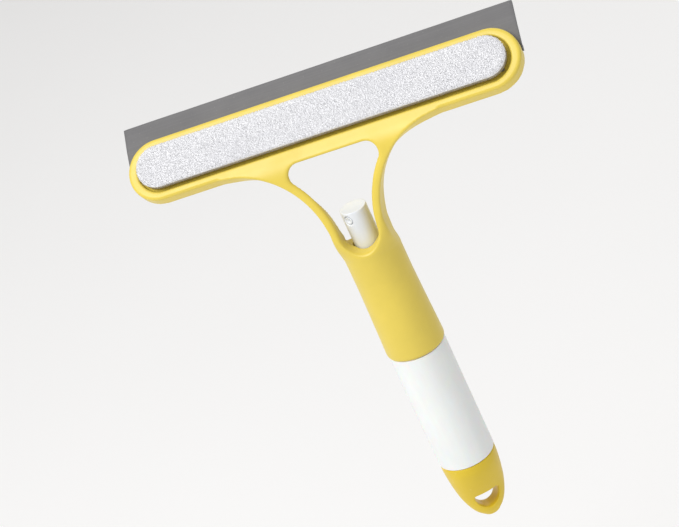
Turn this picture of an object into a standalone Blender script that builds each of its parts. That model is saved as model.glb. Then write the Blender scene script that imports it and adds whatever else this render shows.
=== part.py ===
"""Spray squeegee: a window wiper with a rubber blade, a washable pad and a spray bottle in its handle.

The frame: +X runs along the blade, +Z runs up the handle to the head, and the pad faces -Y.
The origin is on the handle's axis, in the middle of the grip. Lengths below are in millimetres.
"""
import math

import bmesh
import bpy
from mathutils import Matrix, Vector

MM = 0.001
GAP = 0.3                      # clearance between pieces that touch

# Head: a long tray with round ends, tilted back from the handle's axis
HEAD_WIDTH = 239.5
HEAD_HEIGHT = 37.1
HEAD_TILT = math.radians(47.8)
RIM_HEIGHT = 5.8               # depth of the tray's upper half
SKIRT_HEIGHT = 9.0             # depth of the tray's lower half
SKIRT_WALL = 2.4
RECESS_WIDTH = 227.7
RECESS_HEIGHT = 28.0
RECESS_DEPTH = 3.0

# Neck: its front leans back from the grip, then bends into the head
FRONT_START = (-17.0, 36.0)    # y and z where the front leaves the grip
LEAN = math.radians(17.0)
LEAN_RUN = 56.0
BEND_RUN = 10.7
HEAD_RUN = 20.0                # straight run from the bend to the middle of the head
ARM_ARC = 56.0                 # radius of the outer edge that sweeps from grip to head
ARM_WIDTH = 4.8
ARM_SKIN = 2.4
ARM_OUTER_WALL = 1.6
BAR_SKIRT = 3.0
REBATE_FLOOR = 39.0            # height where the hollow behind the arms begins
REBATE_FRONT = -6.0
REBATE_BACK = 11.0
REBATE_START = 15.0            # run of its first section that is square to the front
REBATE_SKIN = [(12.0, 7.0), (20.0, 4.5), (30.0, ARM_SKIN)]
REBATE_TAPER = [(12.0, 1.5), (20.0, 0.5), (32.0, 0.0)]   # it narrows towards the rounded back
WEB_HEIGHT = 5.65              # bar between the finger opening and the tray
OPENING_CORNER = 7.0
NECK_DEPTHS = [(0.0, 35.5), (3.0, 31.5), (6.0, 25.8), (9.0, 21.8), (14.0, 19.3), (22.0, 18.0), (30.0, 16.6),
               (40.0, 13.2), (50.0, 10.2), (58.0, 8.8)]
NECK_SQUARENESS = [(0.0, 0.05), (4.0, 0.22), (9.0, 0.52), (14.0, 0.8), (22.0, 1.0)]
FRONT_CORNER = 1.2
BACK_CORNER = 3.0
CHANNEL_FLOOR = 37.7           # height of the finger opening's lowest point
CHANNEL_RADIUS = 11.2

# Grip sleeve and its bores
GRIP_FOOT = -36.1
GRIP_PROFILE = [(-36.1, 17.6), (-35.0, 18.1), (-26.0, 17.9), (-8.0, 17.4), (12.0, 17.0)]
GRIP_RADIUS = 17.0
SLEEVE_BORE = (15.3, 4.0)      # radius, and the height where it ends
COLLAR_BORE = (12.8, 23.7)
BUTTON_WELL = 8.7

# Blade and the cover that clamps it
BLADE_WIDTH = 240.0
BLADE_THICKNESS = 2.2
BLADE_TIP = 33.3               # from the middle of the head to the wiping edge
BLADE_FOOT = 1.8
BLADE_LEAN = math.radians(6.4)
BLADE_TIP_THICKNESS = 1.6
BEAD_HEIGHT = 3.4
BEAD_BACK = 9.7
CLAMP_FACE = RIM_HEIGHT + BLADE_THICKNESS + 2.0 * GAP
COVER_BACK = 11.4
COVER_SPLIT = 1.2              # the skirt and the cover's lower half end at this level
COVER_STEP = -4.0
SCREW_HEAD = 2.6
SCREW_SHANK = 1.2
SCREW_SEAT = 7.6
SCREW_POINT = 3.9
SCREW_STATIONS = (-100.0, -60.0, -20.0, 20.0, 60.0, 100.0)
SCREW_LEVEL = -8.0

# Scrubbing pad
PAD_WIDTH = 224.0
PAD_HEIGHT = 24.3
PAD_PROUD = 4.6
TAPE_REACH = (3.0, 108.0)      # each hook tape's inner and outer end
TAPE_HALF_WIDTH = 9.0
TAPE_TOP = -1.9
FOAM_FOOT = -0.4
FOAM_TOP = 2.5

# Bottle, its cap and the thread between bottle and grip
BOTTLE_RADIUS = 17.4
BOTTLE_WALL = 1.3
NECK_RADIUS = 8.8
SHOULDER = 0.5
MOUTH = 18.4
WASHER_TOP = 19.7
THREAD_PITCH = 3.0
THREAD_TURNS = 1.5
THREAD_START = 9.0
CAP_JOINT = -117.0
CAP_LENGTH = 45.0
CAP_SOCKET = 7.5
CAP_WALL = 3.0
CAP_TURN = math.radians(24.0)
CAP_WIDTHS = [(0.0, 17.3), (6.6, 17.1), (16.5, 16.1), (26.0, 14.4), (34.0, 11.7), (39.5, 8.7), (43.5, 4.8)]
CAP_DEPTHS = [(0.0, 17.3), (6.6, 16.4), (16.5, 12.8), (26.0, 8.8), (34.0, 6.6), (39.5, 5.2), (43.5, 3.2)]
HANG_TOP = 26.0                # the hanging hole's straight side, below the cap's joint
HANG_HALF_WIDTH = 7.2
HANG_DEPTH = 11.0

# Spray pump, all of it on the handle's axis
BUTTON_RADIUS = 8.0
BUTTON_FOOT = 32.5
BUTTON_TOP = 61.0
NOZZLE_LEVEL = 56.0
NOZZLE_TURN = math.radians(-30.0)   # from -Y towards -X
BARREL = 5.2                   # bore of the pump housing
BARREL_FLOOR = -5.0
VALVE_SEAT = -10.5
BALL_RADIUS = 1.6
BALL_LEVEL = -8.9
DIP_END = -120.0
TURRET_RADIUS = 6.2
GUIDE_FOOT = 16.5
PISTON_FOOT = 9.0
STEM_TOP = 41.2
SPRING_RADIUS = 3.5
SPRING_WIRE = 0.4
SPRING_TURNS = 6

ROUND = 32                     # sides of the larger turned pieces
SMALL_ROUND = 16
CORNER_STEPS = 7               # points in each quarter of the neck's outline


# ---------------------------------------------------------------- scene and materials

def clear_scene():
    for old in list(bpy.context.scene.objects):
        bpy.data.objects.remove(old, do_unlink=True)


def finish(name, colour, roughness, metallic=0.0):
    """A plain Principled material."""
    made = bpy.data.materials.new(name)
    made.use_nodes = True
    shader = made.node_tree.nodes["Principled BSDF"]
    shader.inputs["Base Color"].default_value = (*colour, 1.0)
    shader.inputs["Roughness"].default_value = roughness
    shader.inputs["Metallic"].default_value = metallic
    return made


def make_finishes():
    return {
        "yellow": finish("yellow_plastic", (0.84, 0.66, 0.16), 0.38),
        "golden": finish("golden_plastic", (0.72, 0.48, 0.05), 0.36),
        "white": finish("white_plastic", (0.82, 0.85, 0.88), 0.35),
        "bottle": finish("frosted_plastic", (0.88, 0.88, 0.87), 0.45),
        "clear": finish("clear_tube", (0.85, 0.88, 0.90), 0.25),
        "rubber": finish("grey_rubber", (0.17, 0.17, 0.17), 0.6),
        "seal": finish("black_seal", (0.03, 0.03, 0.03), 0.6),
        "pile": finish("white_pile", (0.80, 0.80, 0.82), 0.95),
        "foam": finish("grey_foam", (0.30, 0.26, 0.19), 0.9),
        "tape": finish("hook_tape", (0.25, 0.25, 0.25), 0.9),
        "steel": finish("steel", (0.60, 0.60, 0.60), 0.3, 1.0),
    }


# ---------------------------------------------------------------- mesh helpers

def add_object(name, shape, material=None, smooth=True):
    """Turn a bmesh whose lengths are millimetres into an object in metres."""
    bmesh.ops.scale(shape, vec=(MM, MM, MM), verts=shape.verts)
    bmesh.ops.recalc_face_normals(shape, faces=shape.faces)
    mesh = bpy.data.meshes.new(name)
    shape.to_mesh(mesh)
    shape.free()
    if smooth:
        mesh.shade_smooth()
        mesh.set_sharp_from_angle(angle=math.radians(35.0))
    made = bpy.data.objects.new(name, mesh)
    bpy.context.scene.collection.objects.link(made)
    if material:
        mesh.materials.append(material)
    return made


def combine(target, tool, operation):
    """Add a Boolean to the target and keep its tool as a hidden guide."""
    change = target.modifiers.new(f"{operation.lower()}_{tool.name}"[:60], "BOOLEAN")
    change.operation = operation
    change.solver = "EXACT"
    change.object = tool
    tool.hide_render = True
    tool.display_type = "WIRE"


def cut(target, *tools):
    for tool in tools:
        combine(target, tool, "DIFFERENCE")


def join(target, *tools):
    for tool in tools:
        combine(target, tool, "UNION")


def loft(sections):
    """Skin closed loops of equal length, and cap the two ends."""
    shape = bmesh.new()
    loops = [[shape.verts.new(point) for point in section] for section in sections]
    count = len(loops[0])
    for low, high in zip(loops, loops[1:]):
        for i in range(count):
            j = (i + 1) % count
            shape.faces.new((low[i], low[j], high[j], high[i]))
    shape.faces.new(loops[0])
    shape.faces.new(loops[-1])
    return shape


def prism(outline, low, high):
    """Extrude a flat outline in XY from one height to another."""
    return loft([[(x, y, z) for x, y in outline] for z in (low, high)])


def turned(profile, sides=ROUND):
    """Turn a profile of (radius, height) round Z; it is closed, or starts and ends on the axis."""
    shape = bmesh.new()
    on_axis = profile[0][0] == 0.0
    rings = []
    for radius, height in profile:
        if radius == 0.0:
            rings.append([shape.verts.new((0.0, 0.0, height))])
            continue
        turn = [2.0 * math.pi * i / sides for i in range(sides)]
        rings.append([shape.verts.new((radius * math.cos(a), radius * math.sin(a), height)) for a in turn])
    pairs = list(zip(rings, rings[1:]))
    if not on_axis:
        pairs.append((rings[-1], rings[0]))
    for first, second in pairs:
        for i in range(sides):
            j = (i + 1) % sides
            corners = [first[i % len(first)], first[j % len(first)],
                       second[j % len(second)], second[i % len(second)]]
            shape.faces.new(list(dict.fromkeys(corners)))
    return shape


def tube(outer, inner, low, high, sides=ROUND):
    return turned([(outer, low), (outer, high), (inner, high), (inner, low)], sides)


def rod(radius, low, high, sides=ROUND):
    return turned([(0.0, low), (radius, low), (radius, high), (0.0, high)], sides)


def box(low, high):
    outline = [(low[0], low[1]), (high[0], low[1]), (high[0], high[1]), (low[0], high[1])]
    return prism(outline, low[2], high[2])


def arc(centre, radius, start, end, steps):
    """Points on an arc, angles in degrees from +X."""
    angles = [math.radians(start + (end - start) * i / steps) for i in range(steps + 1)]
    return [(centre[0] + radius * math.cos(a), centre[1] + radius * math.sin(a)) for a in angles]


def stadium(width, height, low=None, high=None, steps=12):
    """A long outline with round ends, or only its part between two levels."""
    radius = height / 2.0
    reach = width / 2.0 - radius
    start = -90.0 if low is None else math.degrees(math.asin(low / radius))
    end = 90.0 if high is None else math.degrees(math.asin(high / radius))
    right = arc((reach, 0.0), radius, start, end, steps)
    return right + arc((-reach, 0.0), radius, 180.0 - end, 180.0 - start, steps)


def helix(radius, section, low, turns, pitch, steps_per_turn=16):
    """Sweep a small outline of (outward, upward) points along a right-handed helix."""
    steps = round(turns * steps_per_turn)
    stations = []
    for i in range(steps + 1):
        angle = 2.0 * math.pi * i / steps_per_turn
        height = low + pitch * i / steps_per_turn
        stations.append([((radius + out) * math.cos(angle), (radius + out) * math.sin(angle), height + up)
                         for out, up in section])
    return loft(stations)


def between(table, at):
    """Read a value from a table of (position, value) rows, straight between the rows."""
    if at <= table[0][0]:
        return table[0][1]
    for (low, first), (high, second) in zip(table, table[1:]):
        if at <= high:
            return first + (second - first) * (at - low) / (high - low)
    return table[-1][1]


# ---------------------------------------------------------------- the curved front

def front(run):
    """The front's y, z and lean after this run, measured along it from the grip."""
    y, z = FRONT_START
    straight = min(run, LEAN_RUN)
    y += straight * math.sin(LEAN)
    z += straight * math.cos(LEAN)
    if run <= LEAN_RUN:
        return y, z, LEAN
    bend_radius = BEND_RUN / (HEAD_TILT - LEAN)
    turn = min(run - LEAN_RUN, BEND_RUN) / bend_radius
    lean = LEAN + turn
    y += bend_radius * (math.cos(LEAN) - math.cos(lean))
    z += bend_radius * (math.sin(lean) - math.sin(LEAN))
    rest = max(run - LEAN_RUN - BEND_RUN, 0.0)
    return y + rest * math.sin(lean), z + rest * math.cos(lean), lean


def behind_front(x, run, depth):
    """A point this far behind the front, square to it."""
    y, z, lean = front(run)
    return (x, y + depth * math.cos(lean), z - depth * math.sin(lean))


HEAD_MIDDLE = LEAN_RUN + BEND_RUN + HEAD_RUN
HEAD_EDGE = HEAD_MIDDLE - HEAD_HEIGHT / 2.0
ARM_CENTRE = (GRIP_RADIUS - 1.0 + ARM_ARC, HEAD_EDGE - ARM_ARC)


def arm_edge(run, inset=0.0):
    """Half the width of the neck at this run, or of the opening when inset from it."""
    rise = max(run - ARM_CENTRE[1], 0.0)
    radius = ARM_ARC + inset
    return ARM_CENTRE[0] - math.sqrt(max(radius * radius - rise * rise, 0.0))


def head_matrix():
    """From the head's own axes (along, up the face, out of the face) to the world."""
    y, z, lean = front(HEAD_MIDDLE)
    along = Vector((1.0, 0.0, 0.0))
    up = Vector((0.0, math.sin(lean), math.cos(lean)))
    out = Vector((0.0, -math.cos(lean), math.sin(lean)))
    turn = Matrix((along, up, out)).transposed().to_4x4()
    return Matrix.Translation(Vector((0.0, y, z)) * MM) @ turn


def on_head(*pieces):
    for piece in pieces:
        piece.matrix_world = head_matrix()


# ---------------------------------------------------------------- head frame

def round_section(half_width, half_depth, squareness):
    """A loop that goes from an ellipse, at 0, to a rectangle with rounded corners, at 1."""
    loop = []
    for quadrant in range(4):
        side = 1.0 if quadrant in (0, 3) else -1.0
        back = 1.0 if quadrant < 2 else -1.0
        corner = BACK_CORNER if quadrant < 2 else FRONT_CORNER
        for step in range(CORNER_STEPS + 1):
            angle = math.radians(90.0 * (quadrant + step / (CORNER_STEPS + 1)))
            oval = (half_width * math.cos(angle), half_depth * math.sin(angle))
            square = oval
            if step > 0:
                turn = math.radians(90.0 * (quadrant + (step - 1) / (CORNER_STEPS - 1)))
                square = (side * (half_width - corner) + corner * math.cos(turn),
                          back * (half_depth - corner) + corner * math.sin(turn))
            loop.append(tuple(o + (s - o) * squareness for o, s in zip(oval, square)))
    return loop


def neck_runs():
    """Stations up the neck: even steps, then closer ones where the edge sweeps outward."""
    angles = [math.radians(a) for a in (50, 42, 35, 28, 22, 16, 10, 5)]
    sweep = [HEAD_EDGE - ARM_ARC * (1.0 - math.cos(a)) for a in angles]
    return [0.0, 3.0, 6.0, 9.0, 13.0, 17.0, 22.0, 27.0, 32.0, 37.0, 42.0] + sweep


def grip_and_neck():
    """One loft from the round foot of the grip up to the flat bar under the tray."""
    sections = []
    for height, radius in GRIP_PROFILE:
        loop = round_section(radius, radius, 0.0)
        sections.append([(x, d, height) for x, d in loop])
    for tilt in (6.0, 11.0):
        slope = math.radians(tilt)
        height = FRONT_START[1] - GRIP_RADIUS * math.tan(slope) - 12.0 * (1.0 - tilt / 17.0)
        loop = round_section(GRIP_RADIUS, GRIP_RADIUS, 0.0)
        sections.append([(x, d, height - d * math.tan(slope)) for x, d in loop])
    for run in neck_runs():
        depth = between(NECK_DEPTHS, run)
        half_width = max(arm_edge(run), GRIP_RADIUS - run * 0.04)
        loop = round_section(half_width, depth / 2.0, between(NECK_SQUARENESS, run))
        sections.append([behind_front(x, run, depth / 2.0 + d) for x, d in loop])
    last = round_section(arm_edge(HEAD_EDGE - 0.2), 4.0, 1.0)
    sections.append([behind_front(x, HEAD_EDGE + 1.8, 4.4 + d) for x, d in last])
    return add_object("head_frame", loft(sections))


def opening_outline(inset=ARM_WIDTH, top=HEAD_EDGE - WEB_HEIGHT, steps=12):
    """The finger opening as (x, run) points up its right side, inset from the neck's edge."""
    corner = OPENING_CORNER
    limit = top - corner
    rise = limit - ARM_CENTRE[1]
    radius = ARM_ARC + inset
    # the corner's arc touches the side's arc from inside the opening
    reach = radius + corner
    centre_x = ARM_CENTRE[0] - math.sqrt(reach * reach - rise * rise)
    touch = math.degrees(math.atan2(rise, centre_x - ARM_CENTRE[0]))
    side = arc(ARM_CENTRE, radius, 180.0, touch, steps)
    turn = arc((centre_x, limit), corner, touch - 180.0, 90.0, steps // 2)
    return side + turn[1:]


def both_sides(right):
    """Close a right-hand chain of points with its mirror image."""
    return right + [(-x, y) for x, y in reversed(right) if x > 1e-6]


def opening_cutter():
    """The finger opening, cut level from front to back, with a round channel below."""
    right = [(x, front(run)[1]) for x, run in opening_outline()]
    channel = arc((0.0, CHANNEL_FLOOR + CHANNEL_RADIUS), CHANNEL_RADIUS, -90.0, 0.0, 8)
    channel_top = CHANNEL_FLOOR + CHANNEL_RADIUS
    outline = both_sides(channel + [point for point in right if point[1] > channel_top + 1.0])
    return add_object("opening_cutter", loft([[(x, y, z) for x, z in outline] for y in (-40.0, 60.0)]))


def rebate_cutter():
    """Thins the arms and the bar from behind, so that only the skin and an outer wall stay."""
    wide = GRIP_RADIUS - 2.0
    narrow = wide - 3.0
    corners = ((-wide, REBATE_FRONT), (wide, REBATE_FRONT), (narrow, REBATE_BACK), (-narrow, REBATE_BACK))
    sections = [[(x, y, REBATE_FLOOR) for x, y in corners]]
    for x, run in opening_outline(ARM_OUTER_WALL, HEAD_EDGE - BAR_SKIRT):
        if run < REBATE_START:
            continue
        near = between(REBATE_SKIN, run)
        back = between(NECK_DEPTHS, run) + 1.5
        narrow = x - between(REBATE_TAPER, run)
        corners = [(-x, near), (x, near), (narrow, back), (-narrow, back)]
        sections.append([behind_front(at, run, depth) for at, depth in corners])
    return add_object("rebate_cutter", loft(sections))


def make_head_frame(finishes):
    frame = grip_and_neck()
    frame.data.materials.append(finishes["yellow"])
    tray = add_object("tray_block", prism(stadium(HEAD_WIDTH, HEAD_HEIGHT), -RIM_HEIGHT, 0.0))
    skirt_outline = stadium(HEAD_WIDTH, HEAD_HEIGHT, high=COVER_SPLIT)
    skirt = add_object("skirt_block", prism(skirt_outline, -SKIRT_HEIGHT, -1.0))
    recess = add_object("recess_cutter", prism(stadium(RECESS_WIDTH, RECESS_HEIGHT), -RECESS_DEPTH, 5.0))
    inner = 2.0 * SKIRT_WALL
    pocket_outline = stadium(HEAD_WIDTH - inner, HEAD_HEIGHT - inner, high=COVER_SPLIT + 3.0)
    pocket = add_object("cover_pocket_cutter", prism(pocket_outline, -SKIRT_HEIGHT - 9.0, -RIM_HEIGHT))
    on_head(tray, skirt, recess, pocket)
    bores = add_object("grip_bore_cutter", turned([
        (0.0, GRIP_FOOT - 5.0), (SLEEVE_BORE[0], GRIP_FOOT - 5.0), SLEEVE_BORE,
        (COLLAR_BORE[0], SLEEVE_BORE[1]), COLLAR_BORE, (BUTTON_WELL, COLLAR_BORE[1]),
        (BUTTON_WELL, CHANNEL_FLOOR + 12.0), (0.0, CHANNEL_FLOOR + 12.0)]))
    join(frame, tray, skirt)
    cut(frame, opening_cutter(), rebate_cutter(), recess, pocket, bores)
    for number, x in enumerate(SCREW_STATIONS, 1):
        drill = rod(1.5, -SKIRT_HEIGHT, -RECESS_DEPTH - 0.5, SMALL_ROUND)
        pilot = add_object(f"pilot_cutter_{number}", drill)
        pilot.matrix_world = head_matrix() @ Matrix.Translation(Vector((x, SCREW_LEVEL, 0.0)) * MM)
        cut(frame, pilot)
    return frame


def make_back_cover(finishes):
    """A stepped plate: its lower half fills the skirt, its upper half presses on the blade's foot."""
    inset = 2.0 * (SKIRT_WALL + GAP)
    lower = stadium(HEAD_WIDTH - inset, HEAD_HEIGHT - inset, high=COVER_SPLIT)
    step = stadium(HEAD_WIDTH - inset, HEAD_HEIGHT - inset, low=COVER_STEP)
    upper = stadium(HEAD_WIDTH - 1.5, HEAD_HEIGHT - 1.1, low=COVER_SPLIT + GAP)
    cover = add_object("back_cover", prism(lower, -SKIRT_HEIGHT, -RIM_HEIGHT - GAP), finishes["yellow"])
    bulge = add_object("cover_bulge", prism(step, -COVER_BACK, -CLAMP_FACE))
    clamp = add_object("cover_clamp", prism(upper, -COVER_BACK, -CLAMP_FACE))
    groove = add_object("bead_groove_cutter", box(
        (-HEAD_WIDTH, BLADE_FOOT - GAP, -BEAD_BACK - GAP),
        (HEAD_WIDTH, BLADE_FOOT + BEAD_HEIGHT + GAP, -RIM_HEIGHT)))
    on_head(cover, bulge, clamp, groove)
    join(cover, bulge, clamp)
    cut(cover, groove)
    for number, x in enumerate(SCREW_STATIONS, 1):
        seat = add_object(f"screw_seat_cutter_{number}", turned([
            (0.0, -SKIRT_HEIGHT - 3.0), (SCREW_HEAD + GAP, -SKIRT_HEIGHT - 3.0),
            (SCREW_HEAD + GAP, -SCREW_SEAT + GAP), (SCREW_SHANK + GAP, -SCREW_SEAT + GAP),
            (SCREW_SHANK + GAP, 0.0), (0.0, 0.0)], SMALL_ROUND))
        seat.matrix_world = head_matrix() @ Matrix.Translation(Vector((x, SCREW_LEVEL, 0.0)) * MM)
        cut(cover, seat)


def make_screws(finishes):
    """Six flat-headed screws with a cross recess."""
    for number, x in enumerate(SCREW_STATIONS, 1):
        place = head_matrix() @ Matrix.Translation(Vector((x, SCREW_LEVEL, 0.0)) * MM)
        screw = add_object(f"cover_screw_{number}", turned([
            (0.0, -SKIRT_HEIGHT), (SCREW_HEAD, -SKIRT_HEIGHT), (SCREW_HEAD, -SCREW_SEAT),
            (SCREW_SHANK, -SCREW_SEAT), (SCREW_SHANK, -SCREW_POINT - 0.8), (0.0, -SCREW_POINT)], 12),
            finishes["steel"])
        slots = [add_object(f"screw_slot_cutter_{number}_{way}", box((-a, -b, -SKIRT_HEIGHT - 1.0),
                                                                     (a, b, -SKIRT_HEIGHT + 0.7)))
                 for way, (a, b) in enumerate(((1.6, 0.35), (0.35, 1.6)))]
        for piece in (screw, *slots):
            piece.matrix_world = place
        cut(screw, *slots)


def make_blade(finishes):
    """A rubber strip with a bead along its foot; the part past the tray leans back."""
    bend = HEAD_HEIGHT / 2.0
    lip = BLADE_TIP - bend
    face = RIM_HEIGHT + GAP
    tip_face = face + lip * math.tan(BLADE_LEAN)
    outline = [
        (BLADE_FOOT, -face), (bend, -face), (BLADE_TIP, -tip_face),
        (BLADE_TIP - 0.8, -tip_face - BLADE_TIP_THICKNESS), (bend, -face - BLADE_THICKNESS),
        (BLADE_FOOT + BEAD_HEIGHT, -face - BLADE_THICKNESS), (BLADE_FOOT + BEAD_HEIGHT, -BEAD_BACK),
        (BLADE_FOOT, -BEAD_BACK)]
    ends = (-BLADE_WIDTH / 2.0, BLADE_WIDTH / 2.0)
    strip = loft([[(x, up, out) for up, out in outline] for x in ends])
    blade = add_object("blade", strip, finishes["rubber"])
    on_head(blade)


def make_pad(finishes):
    """Hook tape in the tray, then the pad: loop backing, foam and a white pile face."""
    inner, outer = TAPE_REACH
    for name, left, right in (("hook_tape_left", -outer, -inner), ("hook_tape_right", inner, outer)):
        strip = box((left, -TAPE_HALF_WIDTH, -RECESS_DEPTH + GAP), (right, TAPE_HALF_WIDTH, TAPE_TOP))
        on_head(add_object(name, strip, finishes["tape"]))
    layers = [
        ("pad_backing", PAD_WIDTH - 2.0, PAD_HEIGHT - 2.0, TAPE_TOP + GAP, FOAM_FOOT - GAP, "tape"),
        ("pad_foam", PAD_WIDTH, PAD_HEIGHT, FOAM_FOOT, FOAM_TOP, "foam"),
        ("pad_pile", PAD_WIDTH, PAD_HEIGHT, FOAM_TOP + GAP, PAD_PROUD, "pile"),
    ]
    for name, width, height, low, high, skin in layers:
        on_head(add_object(name, prism(stadium(width, height), low, high), finishes[skin]))


# ---------------------------------------------------------------- bottle and its cap

def make_bottle(finishes):
    """A blown bottle: full width below the grip, narrower inside it, with a threaded neck."""
    wall = BOTTLE_WALL
    inside_grip = SLEEVE_BORE[0] - 0.5
    in_cap = BOTTLE_RADIUS - CAP_WALL
    foot = CAP_JOINT - CAP_SOCKET + GAP
    top = GRIP_FOOT - GAP
    joint = CAP_JOINT + GAP
    profile = [
        (0.0, foot), (in_cap - 1.0, foot), (in_cap, foot + 1.0), (in_cap, joint), (BOTTLE_RADIUS, joint),
        (BOTTLE_RADIUS, top), (inside_grip, top), (inside_grip, SHOULDER - 3.5),
        (inside_grip - 1.8, SHOULDER),
        (NECK_RADIUS, SHOULDER + 1.5), (NECK_RADIUS, MOUTH), (NECK_RADIUS - 1.4, MOUTH),
        (NECK_RADIUS - 1.4, SHOULDER + 0.4), (inside_grip - 2.6, SHOULDER - 1.2),
        (inside_grip - wall, SHOULDER - 4.0), (inside_grip - wall, top - wall),
        (BOTTLE_RADIUS - wall, top - wall), (BOTTLE_RADIUS - wall, joint + wall),
        (in_cap - wall, joint + wall), (in_cap - wall, foot + wall), (0.0, foot + wall)]
    bottle = add_object("bottle", turned(profile), finishes["bottle"])
    ridge = [(-0.3, -0.7), (1.0, -0.25), (1.0, 0.25), (-0.3, 0.7)]
    thread = helix(NECK_RADIUS, ridge, THREAD_START, THREAD_TURNS, THREAD_PITCH)
    join(bottle, add_object("bottle_thread", thread))


def make_collar(finishes):
    """The threaded ring inside the grip that the bottle screws into."""
    outer = COLLAR_BORE[0] - 0.4
    top = COLLAR_BORE[1] - 0.4
    inner = NECK_RADIUS + 1.6
    web = top - 2.0
    collar = add_object("bottle_collar", turned([
        (outer, SLEEVE_BORE[1] + 0.5), (outer, top), (TURRET_RADIUS + 0.4, top), (TURRET_RADIUS + 0.4, web),
        (inner, web), (inner, SLEEVE_BORE[1] + 0.5)]), finishes["white"])
    ridge = [(0.3, -0.7), (-1.0, -0.25), (-1.0, 0.25), (0.3, 0.7)]
    thread = helix(inner, ridge, THREAD_START + THREAD_PITCH / 2.0, THREAD_TURNS, THREAD_PITCH)
    join(collar, add_object("collar_thread", thread))
    add_object("bottle_washer", tube(NECK_RADIUS - 0.1, 7.0, MOUTH + GAP, WASHER_TOP), finishes["seal"])


def cap_section(below):
    """The cap's outline this far below its joint: round at the top, flatter towards the tip."""
    across = between(CAP_WIDTHS, below)
    through = between(CAP_DEPTHS, below)
    turn = [2.0 * math.pi * i / ROUND for i in range(ROUND)]
    return [(across * math.cos(a), through * math.sin(a), CAP_JOINT - below) for a in turn]


def hang_outline(scale, y):
    """The hanging hole: straight towards the head, round towards the tip."""
    middle = CAP_JOINT - HANG_TOP - HANG_DEPTH / 2.0
    corner = 1.5
    reach = HANG_HALF_WIDTH
    top = HANG_DEPTH / 2.0
    points = arc((reach - corner, top - corner), corner, 0, 90, 3)
    points += arc((corner - reach, top - corner), corner, 90, 180, 3)
    bowl = [math.pi * i / 12 for i in range(1, 12)]
    points += [(-reach * math.cos(a), top - corner - (HANG_DEPTH - corner) * math.sin(a)) for a in bowl]
    return [(x * scale, y, middle + z * scale) for x, z in points]


def make_end_cap(finishes):
    stations = [0.0, 6.6, 11.5, 16.5, 21.5, 26.0, 30.0, 34.0, 37.0, 39.5, 41.5, 43.5]
    sections = [cap_section(below) for below in stations]
    sections.append([(x * 0.4, y * 0.4, CAP_JOINT - CAP_LENGTH) for x, y, z in sections[-1]])
    cap = add_object("end_cap", loft(sections), finishes["golden"])
    plug = BOTTLE_RADIUS - CAP_WALL + GAP
    socket = add_object("cap_socket_cutter", rod(plug, CAP_JOINT - CAP_SOCKET, CAP_JOINT + 5.0))
    hole = add_object("hang_hole_cutter", loft([
        hang_outline(scale, y) for scale, y in ((1.3, -14.0), (1.0, -3.5), (1.0, 3.5), (1.3, 14.0))]))
    for piece in (cap, hole):
        piece.rotation_euler = (0.0, 0.0, CAP_TURN)
    cut(cap, socket, hole)


# ---------------------------------------------------------------- spray pump

def make_pump(finishes):
    """The fixed parts of the pump, from the guide at its top to the tube in the bottle."""
    flange = WASHER_TOP + GAP
    add_object("pump_housing", turned([
        (NECK_RADIUS + 0.2, flange), (NECK_RADIUS + 0.2, flange + 1.0), (BARREL, flange + 1.0),
        (BARREL, BARREL_FLOOR), (2.6, BARREL_FLOOR), (2.6, VALVE_SEAT), (1.0, VALVE_SEAT),
        (1.0, VALVE_SEAT - 1.2), (2.2, VALVE_SEAT - 1.2), (2.2, VALVE_SEAT - 8.5), (3.4, VALVE_SEAT - 8.5),
        (3.4, VALVE_SEAT + 1.5), (BARREL + 1.0, BARREL_FLOOR - 0.5), (BARREL + 1.0, flange)], 24),
        finishes["clear"])
    add_object("stem_guide", turned([
        (2.6, GUIDE_FOOT), (BARREL - GAP, GUIDE_FOOT), (BARREL - GAP, flange + 1.3),
        (TURRET_RADIUS, flange + 1.3), (TURRET_RADIUS, COLLAR_BORE[1] + 0.8),
        (2.6, COLLAR_BORE[1] + 0.8)], 24), finishes["white"])
    add_object("dip_tube", tube(1.9, 1.2, DIP_END, VALVE_SEAT - 1.5, SMALL_ROUND), finishes["clear"])
    around = [math.pi * i / 8 for i in range(1, 8)]
    half = [(BALL_RADIUS * math.sin(a), -BALL_RADIUS * math.cos(a)) for a in around]
    profile = [(0.0, -BALL_RADIUS)] + half + [(0.0, BALL_RADIUS)]
    ball = add_object("inlet_ball", turned(profile, 10), finishes["steel"])
    ball.location = (0.0, 0.0, BALL_LEVEL * MM)


def make_plunger(finishes):
    """The stem, the piston on it and the spring that lifts them."""
    stop = GUIDE_FOOT - GAP
    add_object("stem", turned([
        (1.0, PISTON_FOOT + 0.4), (2.2, PISTON_FOOT + 0.4), (2.2, stop - 2.4), (4.0, stop - 2.4),
        (4.0, stop),
        (2.2, stop), (2.2, STEM_TOP), (1.0, STEM_TOP)], SMALL_ROUND), finishes["white"])
    add_object("piston", turned([
        (BARREL - GAP, PISTON_FOOT), (BARREL - GAP, PISTON_FOOT + 1.2), (BARREL - 1.0, PISTON_FOOT + 2.2),
        (BARREL - GAP, stop - 3.9), (BARREL - GAP, stop - 2.7), (2.5, stop - 2.7), (2.5, PISTON_FOOT)], 24),
        finishes["seal"])
    section = [(SPRING_WIRE * math.cos(a), SPRING_WIRE * math.sin(a)) for a in
               (math.radians(72.0 * i) for i in range(5))]
    low = BARREL_FLOOR + 2.0 * SPRING_WIRE
    pitch = (PISTON_FOOT - 2.0 * SPRING_WIRE - low) / SPRING_TURNS
    coil = helix(SPRING_RADIUS, section, low, SPRING_TURNS, pitch, 12)
    add_object("return_spring", coil, finishes["steel"])


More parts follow.
